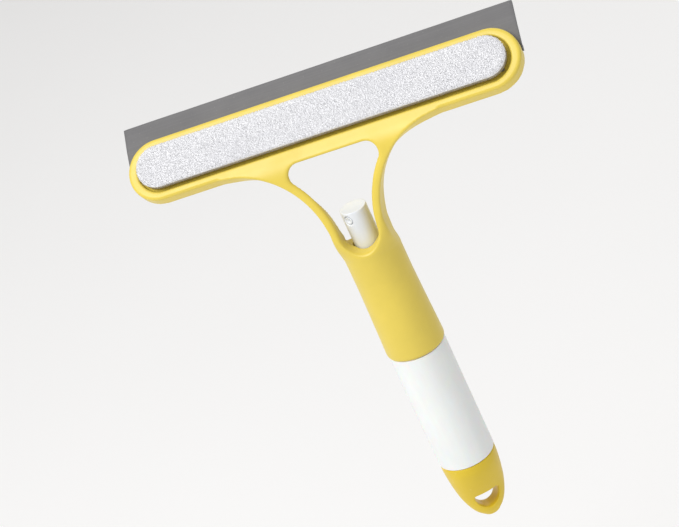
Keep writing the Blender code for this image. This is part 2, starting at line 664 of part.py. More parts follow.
def make_button(finishes):
    """The spray button, hollow below, with a nozzle in its side."""
    socket = STEM_TOP + GAP
    button = add_object("spray_button", turned([
        (0.0, NOZZLE_LEVEL + 1.0), (0.9, NOZZLE_LEVEL + 1.0), (0.9, socket), (2.5, socket),
        (2.5, BUTTON_FOOT + 0.5), (4.0, BUTTON_FOOT + 0.5), (4.0, socket + 0.5), (6.8, socket + 0.5),
        (6.8, BUTTON_FOOT), (BUTTON_RADIUS, BUTTON_FOOT), (BUTTON_RADIUS, BUTTON_TOP - 1.8),
        (BUTTON_RADIUS - 0.4, BUTTON_TOP - 0.7), (BUTTON_RADIUS - 1.4, BUTTON_TOP),
        (BUTTON_RADIUS - 3.5, BUTTON_TOP - 0.4), (0.0, BUTTON_TOP - 0.8)]), finishes["white"])
    pocket = add_object("nozzle_pocket_cutter", turned([
        (0.0, 0.0), (0.7, 0.0), (0.7, 5.5), (2.7, 5.5), (2.7, 10.0), (0.0, 10.0)], SMALL_ROUND))
    nozzle = add_object("nozzle", turned([
        (0.35, 5.8), (2.4, 5.8), (2.4, 7.6), (1.2, 7.6), (0.35, 7.0)], SMALL_ROUND), finishes["white"])
    aim = Matrix.Rotation(NOZZLE_TURN, 4, "Z") @ Matrix.Translation((0.0, 0.0, NOZZLE_LEVEL * MM))
    for piece in (pocket, nozzle):
        piece.matrix_world = aim @ Matrix.Rotation(math.radians(90.0), 4, "X")
    cut(button, pocket)


def main():
    clear_scene()
    finishes = make_finishes()
    make_head_frame(finishes)
    make_back_cover(finishes)
    make_screws(finishes)
    make_blade(finishes)
    make_pad(finishes)
    make_bottle(finishes)
    make_collar(finishes)
    make_end_cap(finishes)
    make_pump(finishes)
    make_plunger(finishes)
    make_button(finishes)


main()
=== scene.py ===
"""Looks of the spray squeegee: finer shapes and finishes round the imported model.

+X runs along the blade, +Z up the handle to the head, and the pad faces -Y. Shapes are worked
out in millimetres and become metres when a mesh is made.
"""

from math import asin, atan2, cos, degrees, pi, radians, sin, sqrt, tan

import bmesh
import bpy
from mathutils import Matrix, Vector, noise


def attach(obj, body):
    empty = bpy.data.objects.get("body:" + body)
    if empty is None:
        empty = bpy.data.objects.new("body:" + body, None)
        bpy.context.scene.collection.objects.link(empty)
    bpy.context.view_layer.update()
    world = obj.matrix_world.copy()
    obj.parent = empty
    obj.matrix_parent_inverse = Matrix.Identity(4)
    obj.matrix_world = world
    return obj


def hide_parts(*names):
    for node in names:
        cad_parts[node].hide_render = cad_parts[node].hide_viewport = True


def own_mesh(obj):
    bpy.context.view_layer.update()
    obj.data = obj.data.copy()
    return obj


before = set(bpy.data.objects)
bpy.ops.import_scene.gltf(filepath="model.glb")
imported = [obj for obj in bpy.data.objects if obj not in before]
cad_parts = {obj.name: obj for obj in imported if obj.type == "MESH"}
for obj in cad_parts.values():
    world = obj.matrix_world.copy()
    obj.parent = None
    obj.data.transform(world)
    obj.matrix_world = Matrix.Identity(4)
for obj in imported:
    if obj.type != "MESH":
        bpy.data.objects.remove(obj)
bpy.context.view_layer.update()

MM = 0.001
GAP = 0.3  # clearance between pieces that touch
ROUND = 96  # sides of turned pieces
STEP = 1.25  # spacing of the neck's sections
END_STEPS = 40  # steps round each end of a long outline
TURN_STEPS = 40  # steps in each turn of a helix

# Head
HEAD_WIDTH = 239.5
HEAD_HEIGHT = 37.1
HEAD_TILT = radians(47.8)
RIM_HEIGHT = 5.8
SKIRT_HEIGHT = 9.0
SKIRT_WALL = 2.4
RECESS_WIDTH = 227.7
RECESS_HEIGHT = 28.0
RECESS_DEPTH = 3.0
RIM_ROUND = 1.7  # rounding of the rim's outer edge
RECESS_ROUND = 0.8

# Neck
FRONT_START = (-17.0, 36.0)
LEAN_DEGREES = 17.0
LEAN = radians(LEAN_DEGREES)
TILT_RUN = 12.0  # height over which the sections tip to the lean
LEAN_RUN = 56.0
BEND_RUN = 10.7
HEAD_RUN = 20.0
ARM_ARC = 56.0
ARM_WIDTH = 4.8
ARM_SKIN = 2.4
ARM_OUTER_WALL = 1.6
BAR_SKIRT = 3.0
WEB_HEIGHT = 5.65
OPENING_CORNER = 7.0
OPENING_ROUND = 2.0  # rounding of the finger opening's front edge
NECK_DEPTHS = [(0.0, 35.5), (3.0, 31.5), (6.0, 25.8), (9.0, 21.8), (14.0, 19.3), (22.0, 18.0),
               (30.0, 16.6), (40.0, 13.2), (50.0, 10.2), (58.0, 8.8)]
NECK_SQUARENESS = [(0.0, 0.05), (4.0, 0.22), (9.0, 0.52), (14.0, 0.8), (22.0, 1.0)]
NECK_OVERLAP = 2.8  # how far the neck runs into the tray
NECK_TOP = (4.4, 4.38)  # middle and half depth of its last section
FRONT_CORNER = 1.2
BACK_CORNER = 3.0
CORNER_STEPS = 11
REBATE_FLOOR = 39.0
REBATE_FRONT = -6.0
REBATE_BACK = 11.0
REBATE_START = 15.0
REBATE_SKIN = [(12.0, 7.0), (20.0, 4.5), (30.0, ARM_SKIN)]
REBATE_TAPER = [(12.0, 1.5), (20.0, 0.5), (32.0, 0.0)]
CHANNEL_FLOOR = 37.7
CHANNEL_RADIUS = 11.2

# Grip
GRIP_FOOT = -36.1
GRIP_PROFILE = [(GRIP_FOOT, 17.3), (-35.9, 17.7), (-35.3, 18.0), (-34.5, 18.1), (-26.0, 17.9), (-8.0, 17.4),
                (12.0, 17.0)]
GRIP_RADIUS = 17.0
SLEEVE_BORE = (15.3, 4.0)
COLLAR_BORE = (12.8, 23.7)
BUTTON_WELL = 8.7

# Blade and cover
BLADE_WIDTH = 240.0
BLADE_THICKNESS = 2.2
BLADE_TIP = 33.3
BLADE_FOOT = 1.8
BLADE_LEAN = radians(6.4)
BLADE_TIP_THICKNESS = 1.6
BLADE_SECTIONS = 121
BLADE_END_TUCK = 0.25
BLADE_WAVES = ((0.22, 0.035, 3.1), (0.08, 0.16, 8.4))  # height, how close together, where in the noise
BEAD_HEIGHT = 3.4
BEAD_BACK = 9.7
CLAMP_FACE = RIM_HEIGHT + BLADE_THICKNESS + 2.0 * GAP
COVER_BACK = 11.4
COVER_SPLIT = 1.2
COVER_STEP = -4.0
SCREW_HEAD = 2.6
SCREW_SHANK = 1.2
SCREW_SEAT = 7.6
SCREW_POINT = 3.9
PILOT_RADIUS = 1.5
SCREW_COUNT = 6
SCREW_SPACING = 40.0
SCREW_LEVEL = -8.0

# Pad
PAD_WIDTH = 224.0
PAD_HEIGHT = 24.3
PAD_PROUD = 4.6
PAD_SEAT = (-0.5, 0.3)  # how far the pad sits off the middle of its tray
PAD_STEPS = 120
PAD_END_STEPS = 48
PILE_SIZE = (225.2, 25.4)
PILE_ROUND = 2.6  # how far in from its edge the pile reaches its full height
PILE_SHOULDER = 1.15
FOAM_SIZE = (224.8, 25.0)
FOAM_FOOT = -0.4
FOAM_TOP = 2.5

# Bottle and cap
BOTTLE_RADIUS = 17.4
BOTTLE_WALL = 1.3
NECK_RADIUS = 8.8
SHOULDER = 0.5
MOUTH = 18.4
THREAD_PITCH = 3.0
THREAD_TURNS = 1.5
THREAD_START = 9.0
CAP_JOINT = -117.0
CAP_LENGTH = 45.0
CAP_SOCKET = 7.5
CAP_WALL = 3.0
CAP_TURN = radians(24.0)
CAP_WIDTHS = [(0.0, 17.3), (6.6, 17.1), (16.5, 16.1), (26.0, 14.4), (34.0, 11.7), (39.5, 8.7), (43.5, 4.8)]
CAP_DEPTHS = [(0.0, 17.3), (6.6, 16.4), (16.5, 12.8), (26.0, 8.8), (34.0, 6.6), (39.5, 5.2), (43.5, 3.2)]
HANG_TOP = 26.0
HANG_HALF_WIDTH = 7.2
HANG_DEPTH = 11.0

# Spray button and spring
SPRING_FOOT = -4.6
SPRING_LENGTH = 13.2
SPRING_RADIUS = 3.5
SPRING_WIRE = 0.4
SPRING_TURNS = 6
BUTTON_RADIUS = 8.0
BUTTON_FOOT = 32.5
BUTTON_TOP = 61.0
STEM_TOP = 41.2
NOZZLE_LEVEL = 56.0
NOZZLE_TURN = radians(-30.0)

# Studio; the camera and the lights are placed in metres
FOCAL_LENGTH = 148.8
LENS_SHIFT = (-0.0542, -0.00815)
CAMERA_AIM = 0.025
CAMERA_DISTANCE = 1.6
LIGHT_SIZE = 2.0
FLOOR_REACH = 9000.0
FLOOR_LEVEL = -500.0


# ---- shader trees

class Wire:
    """A socket that can be used in arithmetic; each operation adds its Math node."""

    def __init__(self, paint, socket):
        self.paint = paint
        self.socket = socket

    def maths(self, operation, *values):
        return self.paint.add("Math", {"operation": operation}, dict(enumerate(values)))

    def __add__(self, other):
        return self.maths("ADD", self, other)

    def __rsub__(self, other):
        return self.maths("SUBTRACT", other, self)

    def __mul__(self, other):
        return self.maths("MULTIPLY", self, other)

    __radd__ = __add__
    __rmul__ = __mul__


class Paint:
    """One material and the nodes in it."""

    def __init__(self, name, **constants):
        self.material = bpy.data.materials.new(name)
        self.material.use_nodes = True
        self.tree = self.material.node_tree
        self.shader = self.tree.nodes["Principled BSDF"]
        for socket, value in constants.items():
            self.shader.inputs[socket.replace("_", " ")].default_value = value
        self.place = self.add("TexCoord", output="Object")

    def add(self, kind, settings=None, inputs=None, output=0):
        """Add a node: its settings first, then the values or links of its sockets."""
        node = self.tree.nodes.new("ShaderNode" + kind)
        for key, value in (settings or {}).items():
            if key == "stops":
                self.set_stops(node.color_ramp.elements, value)
            else:
                setattr(node, key, value)
        for key, value in (inputs or {}).items():
            self.feed(node.inputs[key], value)
        return Wire(self, node.outputs[output])

    @staticmethod
    def set_stops(elements, stops):
        for element, (position, level) in zip(elements, stops):
            element.position = position
            element.color = (level, level, level, 1.0)

    def feed(self, socket, value):
        """Link a socket or set its value; a colour is given as its three channels."""
        if isinstance(value, Wire):
            self.tree.links.new(value.socket, socket)
        else:
            socket.default_value = (*value, 1.0) if socket.type == "RGBA" else value

    def stretched(self, scale, turn=(0.0, 0.0, 0.0)):
        """Object coordinates, stretched and turned."""
        return self.add("Mapping", None, {"Vector": self.place, "Rotation": turn, "Scale": scale})

    def grain(self, scale, detail=3.0, roughness=0.5, vector=None):
        """Noise; the scale counts features in a metre."""
        values = {"Vector": vector or self.place, "Scale": scale, "Detail": detail, "Roughness": roughness}
        return self.add("TexNoise", None, values, "Fac")

    def ramp(self, value, low, high):
        """A mask that rises from 0 at the low value to 1 at the high one."""
        return self.add("ValToRGB", {"stops": ((low, 0.0), (high, 1.0))}, {"Fac": value})

    def mix(self, amount, first, second):
        """Mix two colours."""
        return self.add("Mix", {"data_type": "RGBA"}, {0: amount, 6: first, 7: second}, 2)

    def edges(self, low, high):
        """A mask of the edges that stand out."""
        point = self.add("NewGeometry", output="Pointiness")
        return self.ramp(point, low, high)

    def bump(self, height, distance, strength=1.0, normal=None):
        inputs = {"Height": height, "Distance": distance, "Strength": strength}
        if normal:
            inputs["Normal"] = normal
        return self.add("Bump", None, inputs)

    def finish(self, colour, roughness, normal):
        for socket, value in (("Base Color", colour), ("Roughness", roughness), ("Normal", normal)):
            self.feed(self.shader.inputs[socket], value)
        return self.material


def shade(colour, factor):
    return tuple(min(channel * factor, 1.0) for channel in colour)


def moulded_plastic(name, colour, worn, roughness=0.36):
    """Injection-moulded plastic: slow drift in its colour, a fine skin, hairline scuffs and rubbed edges."""
    paint = Paint(name)
    drift = paint.ramp(paint.grain(28.0, 4.0, 0.6), 0.3, 0.7)
    body = paint.mix(drift, shade(colour, 0.95), shade(colour, 1.05))
    skin = paint.grain(2600.0, 2.0, 0.6)
    lines = paint.grain(70.0, 5.0, 0.75, paint.stretched((14.0, 3.0, 1.0), (0.3, 0.5, 0.2)))
    scuffs = paint.ramp(lines, 0.66, 0.72)
    patches = paint.ramp(paint.grain(45.0, 3.0), 0.45, 0.65)
    rubbed = paint.edges(0.52, 0.60) * (0.35 + 0.5 * patches)
    body = paint.mix(0.5 * rubbed, body, worn)
    body = paint.mix(0.12 * scuffs, body, worn)
    gloss = roughness - 0.03 + 0.07 * patches + 0.10 * scuffs + 0.05 * skin
    normal = paint.bump(1.0 - scuffs, 0.000015, 0.6, paint.bump(skin, 0.000012))
    return paint.finish(body, gloss, normal)


def blade_rubber():
    """Matt grey rubber: fine skin, faint drawn lines along its length and rubbed edges."""
    paint = Paint("blade_rubber", Specular_IOR_Level=0.35)
    drift = paint.ramp(paint.grain(35.0, 5.0, 0.65), 0.3, 0.7)
    body = paint.mix(drift, (0.148, 0.146, 0.150), (0.178, 0.175, 0.178))
    drawn = paint.grain(160.0, 4.0, 0.6, paint.stretched((0.04, 6.0, 6.0)))
    body = paint.mix(0.35 * paint.ramp(drawn, 0.45, 0.7), body, (0.215, 0.212, 0.215))
    dust = paint.ramp(paint.grain(900.0, 2.0, 0.7), 0.66, 0.74)
    body = paint.mix(0.35 * dust, body, (0.36, 0.35, 0.34))
    body = paint.mix(0.6 * paint.edges(0.53, 0.62), body, (0.09, 0.09, 0.095))
    skin = paint.grain(1800.0, 3.0, 0.65)
    gloss = 0.50 + 0.12 * drift + 0.10 * drawn + 0.08 * dust
    normal = paint.bump(drawn, 0.00004, 0.5, paint.bump(skin, 0.00003))
    return paint.finish(body, gloss, normal)


def frosted_plastic():
    """Blown translucent plastic: milky, with flow clouds, faint upright draw lines and a satin skin."""
    paint = Paint("frosted_plastic", Subsurface_Weight=0.25, Subsurface_Scale=0.003)
    clouds = paint.ramp(paint.grain(55.0, 4.0, 0.6, paint.stretched((1.0, 1.0, 0.35))), 0.3, 0.7)
    body = paint.mix(clouds, (0.86, 0.855, 0.84), (0.93, 0.93, 0.92))
    drawn = paint.grain(260.0, 3.0, 0.6, paint.stretched((1.0, 1.0, 0.03)))
    body = paint.mix(0.25 * drawn, body, (0.80, 0.80, 0.79))
    skin = paint.grain(3000.0, 2.0, 0.6)
    specks = paint.ramp(paint.grain(700.0, 2.0), 0.68, 0.74)
    gloss = 0.40 + 0.08 * clouds + 0.08 * skin + 0.1 * specks
    normal = paint.bump(drawn, 0.00003, 0.5, paint.bump(skin, 0.000015))
    return paint.finish(body, gloss, normal)


def clear_plastic():
    paint = Paint("clear_plastic", Transmission_Weight=0.5, IOR=1.49)
    haze = paint.grain(120.0, 4.0)
    body = paint.mix(haze, (0.80, 0.83, 0.85), (0.90, 0.92, 0.93))
    skin = paint.grain(2400.0, 2.0)
    return paint.finish(body, 0.14 + 0.14 * haze, paint.bump(skin, 0.00001))


def microfibre_pile():
    """White plush: clumps that lie different ways, a few grey fibres, no gloss."""
    paint = Paint("microfibre_pile", Sheen_Weight=0.35, Sheen_Roughness=0.5, Specular_IOR_Level=0.2)
    clumps = paint.ramp(paint.grain(420.0, 4.0, 0.6), 0.3, 0.7)
    lay = paint.ramp(paint.grain(60.0, 4.0, 0.6, paint.stretched((0.6, 1.0, 1.0))), 0.35, 0.65)
    body = paint.mix(clumps, (0.86, 0.86, 0.88), (0.93, 0.93, 0.945))
    body = paint.mix(0.35 * lay, body, (0.83, 0.83, 0.86))
    fibres = paint.grain(2600.0, 3.0, 0.7, paint.stretched((1.0, 1.6, 1.0)))
    grey = paint.ramp(paint.grain(1100.0, 2.0), 0.70, 0.76)
    body = paint.mix(0.3 * grey, body, (0.70, 0.70, 0.73))
    normal = paint.bump(clumps, 0.0001, 0.5, paint.bump(fibres, 0.00005, 0.6))
    return paint.finish(body, 0.86 + 0.1 * fibres, normal)


def open_foam():
    """Grey foam with open pores, each darkened towards its middle with painted shade."""
    paint = Paint("open_foam", Specular_IOR_Level=0.2)
    pores = paint.add("TexVoronoi", None, {"Vector": paint.place, "Scale": 1700.0}, "Distance")
    holes = paint.ramp(pores, 0.12, 0.45)
    drift = paint.grain(80.0, 4.0)
    body = paint.mix(drift, (0.36, 0.32, 0.26), (0.48, 0.44, 0.37))
    # painted shade: the foam turns dark brown-grey towards the middle of each pore
    body = paint.mix(1.0 - holes, body, (0.20, 0.175, 0.14))
    return paint.finish(body, 0.88 + 0.08 * drift, paint.bump(holes, 0.0002))


def loop_fabric(name, dark, light):
    """Knitted tape: rows of small loops, with painted shade in the low parts between them."""
    paint = Paint(name, Specular_IOR_Level=0.2)
    place = paint.place
    knit = {"Vector": place, "Scale": 420.0, "Distortion": 6.0, "Detail": 2.0, "Detail Scale": 3.0}
    rows = paint.add("TexWave", None, knit, "Fac")
    loops = paint.add("TexVoronoi", {"feature": "SMOOTH_F1"}, {"Vector": place, "Scale": 1300.0}, "Distance")
    height = rows * 0.5 + loops
    # painted shade: the colour runs from dark in the low parts of the knit to light on the loop tops
    body = paint.mix(paint.ramp(height, 0.2, 1.0), dark, light)
    return paint.finish(body, 0.82 + 0.1 * rows, paint.bump(height, 0.0002))


def seal_rubber():
    paint = Paint("seal_rubber")
    drift = paint.grain(400.0, 4.0)
    body = paint.mix(drift, (0.018, 0.018, 0.018), (0.045, 0.044, 0.042))
    return paint.finish(body, 0.45 + 0.2 * drift, paint.bump(paint.grain(3000.0), 0.00002))


def plated_steel():
    """Bright plated steel, with turned lines and dull spots."""
    paint = Paint("plated_steel", Metallic=1.0)
    spots = paint.ramp(paint.grain(900.0, 4.0, 0.7), 0.45, 0.7)
    body = paint.mix(spots, (0.66, 0.65, 0.63), (0.46, 0.45, 0.43))
    lines = paint.grain(2200.0, 3.0, 0.6, paint.stretched((0.2, 1.0, 1.0)))
    return paint.finish(body, 0.20 + 0.22 * spots + 0.08 * lines, paint.bump(lines, 0.00001))


def pale_floor():
    paint = Paint("pale_floor", Specular_IOR_Level=0.1)
    drift = paint.grain(3.0, 3.0)
    body = paint.mix(drift, (0.93, 0.925, 0.92), (0.95, 0.945, 0.94))
    return paint.finish(body, 0.9 + 0.05 * drift, paint.bump(paint.grain(90.0), 0.0001))


# ---- mesh helpers

def smooth(mesh, rounded=40.0):
    """Shade smooth, with the edges sharper than this many degrees kept."""
    mesh.shade_smooth()
    mesh.set_sharp_from_angle(angle=radians(rounded))


def place_mesh(name, shape, material=None, turn=None, rounded=40.0):
    """Make a millimetre bmesh an object at the origin, in metres, with its faces outwards."""
    if turn:
        bmesh.ops.transform(shape, matrix=turn, verts=shape.verts)
    bmesh.ops.scale(shape, vec=(MM, MM, MM), verts=shape.verts)
    bmesh.ops.recalc_face_normals(shape, faces=shape.faces)
    mesh = bpy.data.meshes.new(name)
    shape.to_mesh(mesh)
    shape.free()
    smooth(mesh, rounded)
    made = bpy.data.objects.new(name, mesh)
    bpy.context.scene.collection.objects.link(made)
    if material:
        mesh.materials.append(material)
    return made


def settle(piece):
    """Apply a piece's modifiers to its mesh."""
    bpy.context.view_layer.update()
    seen = piece.evaluated_get(bpy.context.evaluated_depsgraph_get())
    old = piece.data
    made = bpy.data.meshes.new_from_object(seen)
    piece.modifiers.clear()
    piece.data = made
    made.name = piece.name
    bpy.data.meshes.remove(old)


def shape_with(piece, joined=(), removed=()):
    """Join tools to a piece, cut others from it, and delete them all."""
    for tools, operation in ((joined, "UNION"), (removed, "DIFFERENCE")):
        for tool in tools:
            change = piece.modifiers.new(operation, "BOOLEAN")
            change.operation = operation
            change.solver = "EXACT"
            change.object = tool
            settle(piece)
            bpy.data.objects.remove(tool, do_unlink=True)


def coat(piece, material):
    piece.data.materials.clear()
    piece.data.materials.append(material)
    piece.data.shade_smooth()


def soften(piece, name, material, voxel, passes, keep):
    """Remesh evenly, smooth so that every edge gets a moulded radius, thin out and name the piece."""
    remesh = piece.modifiers.new("even", "REMESH")
    remesh.mode = "VOXEL"
    remesh.voxel_size = voxel * MM
    piece.modifiers.new("radius", "SMOOTH").iterations = passes
    piece.modifiers.new("thin", "DECIMATE").ratio = keep
    settle(piece)
    coat(piece, material)
    piece.name = name


def join_loops(shape, loops):
    """Join closed loops of equal length by bands of faces, and close the first one."""
    count = len(loops[0])
    for low, high in zip(loops, loops[1:]):
        for i in range(count):
            j = (i + 1) % count
            shape.faces.new((low[i], low[j], high[j], high[i]))
    shape.faces.new(loops[0])


def loft(sections):
    """Skin sections of equal length, and cap the two ends."""
    shape = bmesh.new()
    loops = [[shape.verts.new(point) for point in section] for section in sections]
    join_loops(shape, loops)
    shape.faces.new(loops[-1])
    return shape


def box_outline(half_width, low, high):
    return [(-half_width, low), (half_width, low), (half_width, high), (-half_width, high)]


def rod(radius, low, high):
    """The profile of a plain turned cylinder."""
    return [(0.0, low), (radius, low), (radius, high), (0.0, high)]


def prism(outline, low, high):
    return loft([[(x, y, z) for x, y in outline] for z in (low, high)])


def full_turn(sides):
    return [2.0 * pi * i / sides for i in range(sides)]


def turned(profile, sides=ROUND):
    """Turn a profile of (radius, height) round Z; it is closed, or starts and ends on the axis."""
    shape = bmesh.new()
    rings = []
    for radius, height in profile:
        if radius == 0.0:
            rings.append([shape.verts.new((0.0, 0.0, height))])
            continue
        rings.append([shape.verts.new((radius * cos(a), radius * sin(a), height)) for a in full_turn(sides)])
    pairs = list(zip(rings, rings[1:]))
    if profile[0][0] > 0.0:
        pairs.append((rings[-1], rings[0]))
    for first, second in pairs:
        for i in range(sides):
            j = (i + 1) % sides
            corners = [ring[k % len(ring)] for ring, k in ((first, i), (first, j), (second, j), (second, i))]
            shape.faces.new(list(dict.fromkeys(corners)))
    return shape


def eased(profile, radius, steps):
    """Round the corners of a profile; a corner on the axis or too near another stays."""
    made = []
    count = len(profile)
    on_axis = profile[0][0] == 0.0
    for i, corner in enumerate(profile):
        if on_axis and i in (0, count - 1):
            made.append(corner)
            continue
        here = Vector(corner)
        before = Vector(profile[i - 1]) - here
        after = Vector(profile[(i + 1) % count]) - here
        reach = min(radius, before.length * 0.45, after.length * 0.45)
        start = here + before.normalized() * reach
        end = here + after.normalized() * reach
        for step in range(steps + 1):
            t = step / steps
            made.append(tuple(start.lerp(here, t).lerp(here.lerp(end, t), t)))
    return made


def arc(centre, radius, start, end, steps):
    angles = [radians(start + (end - start) * i / steps) for i in range(steps + 1)]
    return [(centre[0] + radius * cos(a), centre[1] + radius * sin(a)) for a in angles]


def stadium(width, height, low=None, high=None):
    """A long outline with round ends, or only its part between two levels."""
    radius = height / 2.0
    reach = width / 2.0 - radius
    start = -90.0 if low is None else degrees(asin(low / radius))
    end = 90.0 if high is None else degrees(asin(high / radius))
    right = arc((reach, 0.0), radius, start, end, END_STEPS)
    return right + arc((-reach, 0.0), radius, 180.0 - end, 180.0 - start, END_STEPS)


def quarter_round(radius, level, steps):
    """The (inset, height) levels of an edge rounded up to this level."""
    angles = [pi / 2.0 * i / steps for i in range(steps + 1)]
    return [(radius * (1.0 - cos(a)), level - radius * (1.0 - sin(a))) for a in angles]


def slab(width, height, levels):
    """Skin stadium outlines from levels of (inset, height)."""
    return loft([[(x, y, z) for x, y in stadium(width - 2.0 * inset, height - 2.0 * inset)]
                 for inset, z in levels])


def helix(radius, section, low, turns, pitch, thinned=0.0):
    """Sweep a small outline of (outward, upward) points along a helix; it may thin out at its ends."""
    steps = round(turns * TURN_STEPS)
    stations = []
    for i in range(steps + 1):
        angle = 2.0 * pi * i / TURN_STEPS
        height = low + pitch * i / TURN_STEPS
        run_in = min(1.0, 1.0 - thinned + 6.0 * min(i, steps - i) / steps)
        stations.append([((radius + out * run_in) * cos(angle), (radius + out * run_in) * sin(angle),
                          height + up * run_in) for out, up in section])
    return loft(stations)


def between(table, at):
    """A value from a table of (position, value) rows, eased through the rows."""
    if at <= table[0][0]:
        return table[0][1]
    for i, (high, last) in enumerate(table[1:], 1):
        if at > high:
            continue
        low, first = table[i - 1]
        span = high - low
        slope = (last - first) / span
        before = slope if i == 1 else (last - table[i - 2][1]) / (high - table[i - 2][0])
        after = slope if i == len(table) - 1 else (table[i + 1][1] - first) / (table[i + 1][0] - low)
        t = (at - low) / span
        ease = t * t * (3.0 - 2.0 * t)
        bow = t * (1.0 - t) * span * ((1.0 - t) * before - t * after)
        return first + (last - first) * ease + bow
    return table[-1][1]


# ---- the curved front

def front(run):
    """The front's y, z and lean after this run, measured along it from the grip."""
    y, z = FRONT_START
    straight = min(run, LEAN_RUN)
    y += straight * sin(LEAN)
    z += straight * cos(LEAN)
    if run <= LEAN_RUN:
        return y, z, LEAN
    bend_radius = BEND_RUN / (HEAD_TILT - LEAN)
    lean = LEAN + min(run - LEAN_RUN, BEND_RUN) / bend_radius
    y += bend_radius * (cos(LEAN) - cos(lean))
    z += bend_radius * (sin(lean) - sin(LEAN))
    rest = max(run - LEAN_RUN - BEND_RUN, 0.0)
    return y + rest * sin(lean), z + rest * cos(lean), lean


def behind_front(x, run, depth):
    y, z, lean = front(run)
    return (x, y + depth * cos(lean), z - depth * sin(lean))


HEAD_MIDDLE = LEAN_RUN + BEND_RUN + HEAD_RUN
HEAD_EDGE = HEAD_MIDDLE - HEAD_HEIGHT / 2.0
ARM_CENTRE = (GRIP_RADIUS - 1.0 + ARM_ARC, HEAD_EDGE - ARM_ARC)


def arm_edge(run):
    """Half the width of the neck at this run."""
    rise = max(run - ARM_CENTRE[1], 0.0)
    return ARM_CENTRE[0] - sqrt(max(ARM_ARC * ARM_ARC - rise * rise, 0.0))


def head_turn():
    """From the head's own axes (along, up the face, out of the face) to the model's, in mm."""
    y, z, lean = front(HEAD_MIDDLE)
    along = Vector((1.0, 0.0, 0.0))
    up = Vector((0.0, sin(lean), cos(lean)))
    out = Vector((0.0, -cos(lean), sin(lean)))
    return Matrix.Translation((0.0, y, z)) @ Matrix((along, up, out)).transposed().to_4x4()


HEAD = head_turn()


# ---- head frame

def round_section(half_width, half_depth, squareness):
    """A loop that goes from an ellipse, at 0, to a rectangle with rounded corners, at 1."""
    loop = []
    for quadrant in range(4):
        side = 1.0 if quadrant in (0, 3) else -1.0
        back = 1.0 if quadrant < 2 else -1.0
        corner = BACK_CORNER if quadrant < 2 else FRONT_CORNER
        for step in range(CORNER_STEPS + 1):
            angle = radians(90.0 * (quadrant + step / (CORNER_STEPS + 1)))
            oval = (half_width * cos(angle), half_depth * sin(angle))
            square = oval
            if step > 0:
                turn = radians(90.0 * (quadrant + (step - 1) / (CORNER_STEPS - 1)))
                square = (side * (half_width - corner) + corner * cos(turn),
                          back * (half_depth - corner) + corner * sin(turn))
            loop.append(tuple(o + (s - o) * squareness for o, s in zip(oval, square)))
    return loop


def grip_and_neck():
    """One loft from the round foot of the grip up to the flat bar under the tray."""
    sections = []
    for height, radius in GRIP_PROFILE:
        sections.append([(x, d, height) for x, d in round_section(radius, radius, 0.0)])
    for tilt in (4.0, 8.0, 12.0, 15.0):
        slope = radians(tilt)
        height = FRONT_START[1] - GRIP_RADIUS * tan(slope) - TILT_RUN * (1.0 - tilt / LEAN_DEGREES)
        loop = round_section(GRIP_RADIUS, GRIP_RADIUS, 0.0)
        sections.append([(x, d, height - d * tan(slope)) for x, d in loop])
    steps = int((HEAD_EDGE - 1.0) / STEP)
    for run in [STEP * i for i in range(steps + 1)] + [HEAD_EDGE - 0.2]:
        depth = between(NECK_DEPTHS, run)
        half_width = max(arm_edge(run), GRIP_RADIUS - run * 0.04)
        loop = round_section(half_width, depth / 2.0, min(between(NECK_SQUARENESS, run), 1.0))
        sections.append([behind_front(x, run, depth / 2.0 + d) for x, d in loop])
    middle, half_depth = NECK_TOP
    last = round_section(arm_edge(HEAD_EDGE - 0.2), half_depth, 1.0)
    sections.append([behind_front(x, HEAD_EDGE + NECK_OVERLAP, middle + d) for x, d in last])
    return place_mesh("head_shell", loft(sections))


def opening_side(inset=ARM_WIDTH, top=HEAD_EDGE - WEB_HEIGHT):
    """The finger opening as (x, run) points up its right side, inset from the neck's edge."""
    corner = OPENING_CORNER
    limit = top - corner
    rise = limit - ARM_CENTRE[1]
    reach = ARM_ARC + inset + corner
    centre_x = ARM_CENTRE[0] - sqrt(reach * reach - rise * rise)
    touch = degrees(atan2(rise, centre_x - ARM_CENTRE[0]))
    side = arc(ARM_CENTRE, ARM_ARC + inset, 180.0, touch, 30)
    return side + arc((centre_x, limit), corner, touch - 180.0, 90.0, 15)[1:]


def opening_outline():
    """The whole opening as (x, run) points, with the button's round channel at its foot."""
    low = (CHANNEL_FLOOR - FRONT_START[1]) / cos(LEAN)
    flat = 1.0 / cos(LEAN)
    quarter = arc((0.0, 0.0), CHANNEL_RADIUS, -90.0, 0.0, 20)
    channel = [(x, low + (CHANNEL_RADIUS + z) * flat) for x, z in quarter]
    top = channel[-1][1]
    right = channel + [point for point in opening_side() if point[1] > top + 1.0]
    return right + [(-x, run) for x, run in reversed(right) if x > 1e-6]


def opening_cutter():
    outline = [(x, front(run)[1]) for x, run in opening_outline()]
    return place_mesh("opening_cutter", loft([[(x, y, z) for x, z in outline] for y in (-40.0, 60.0)]))


def opening_flare():
    """A lip cutter that rounds the opening's front edge."""
    outline = [Vector(point) for point in opening_outline()]
    count = len(outline)
    edges = [outline[(i + 1) % count] - outline[i - 1] for i in range(count)]
    normals = [Vector((edge.y, -edge.x)).normalized() for edge in edges]
    r = OPENING_ROUND
    sections = []
    for depth in (-1.0, 0.0, 0.08 * r, 0.2 * r, 0.4 * r, 0.65 * r, r, r + 1.0):
        inside = r - min(max(depth, 0.0), r)
        off = r - sqrt(max(r * r - inside * inside, 0.0)) - 0.3 * max(depth - r, 0.0)
        loop = []
        for point, normal in zip(outline, normals):
            x, run = point + normal * off
            y, z, _ = front(run)
            loop.append((x, y + depth, z))
        sections.append(loop)
    return place_mesh("opening_flare", loft(sections))


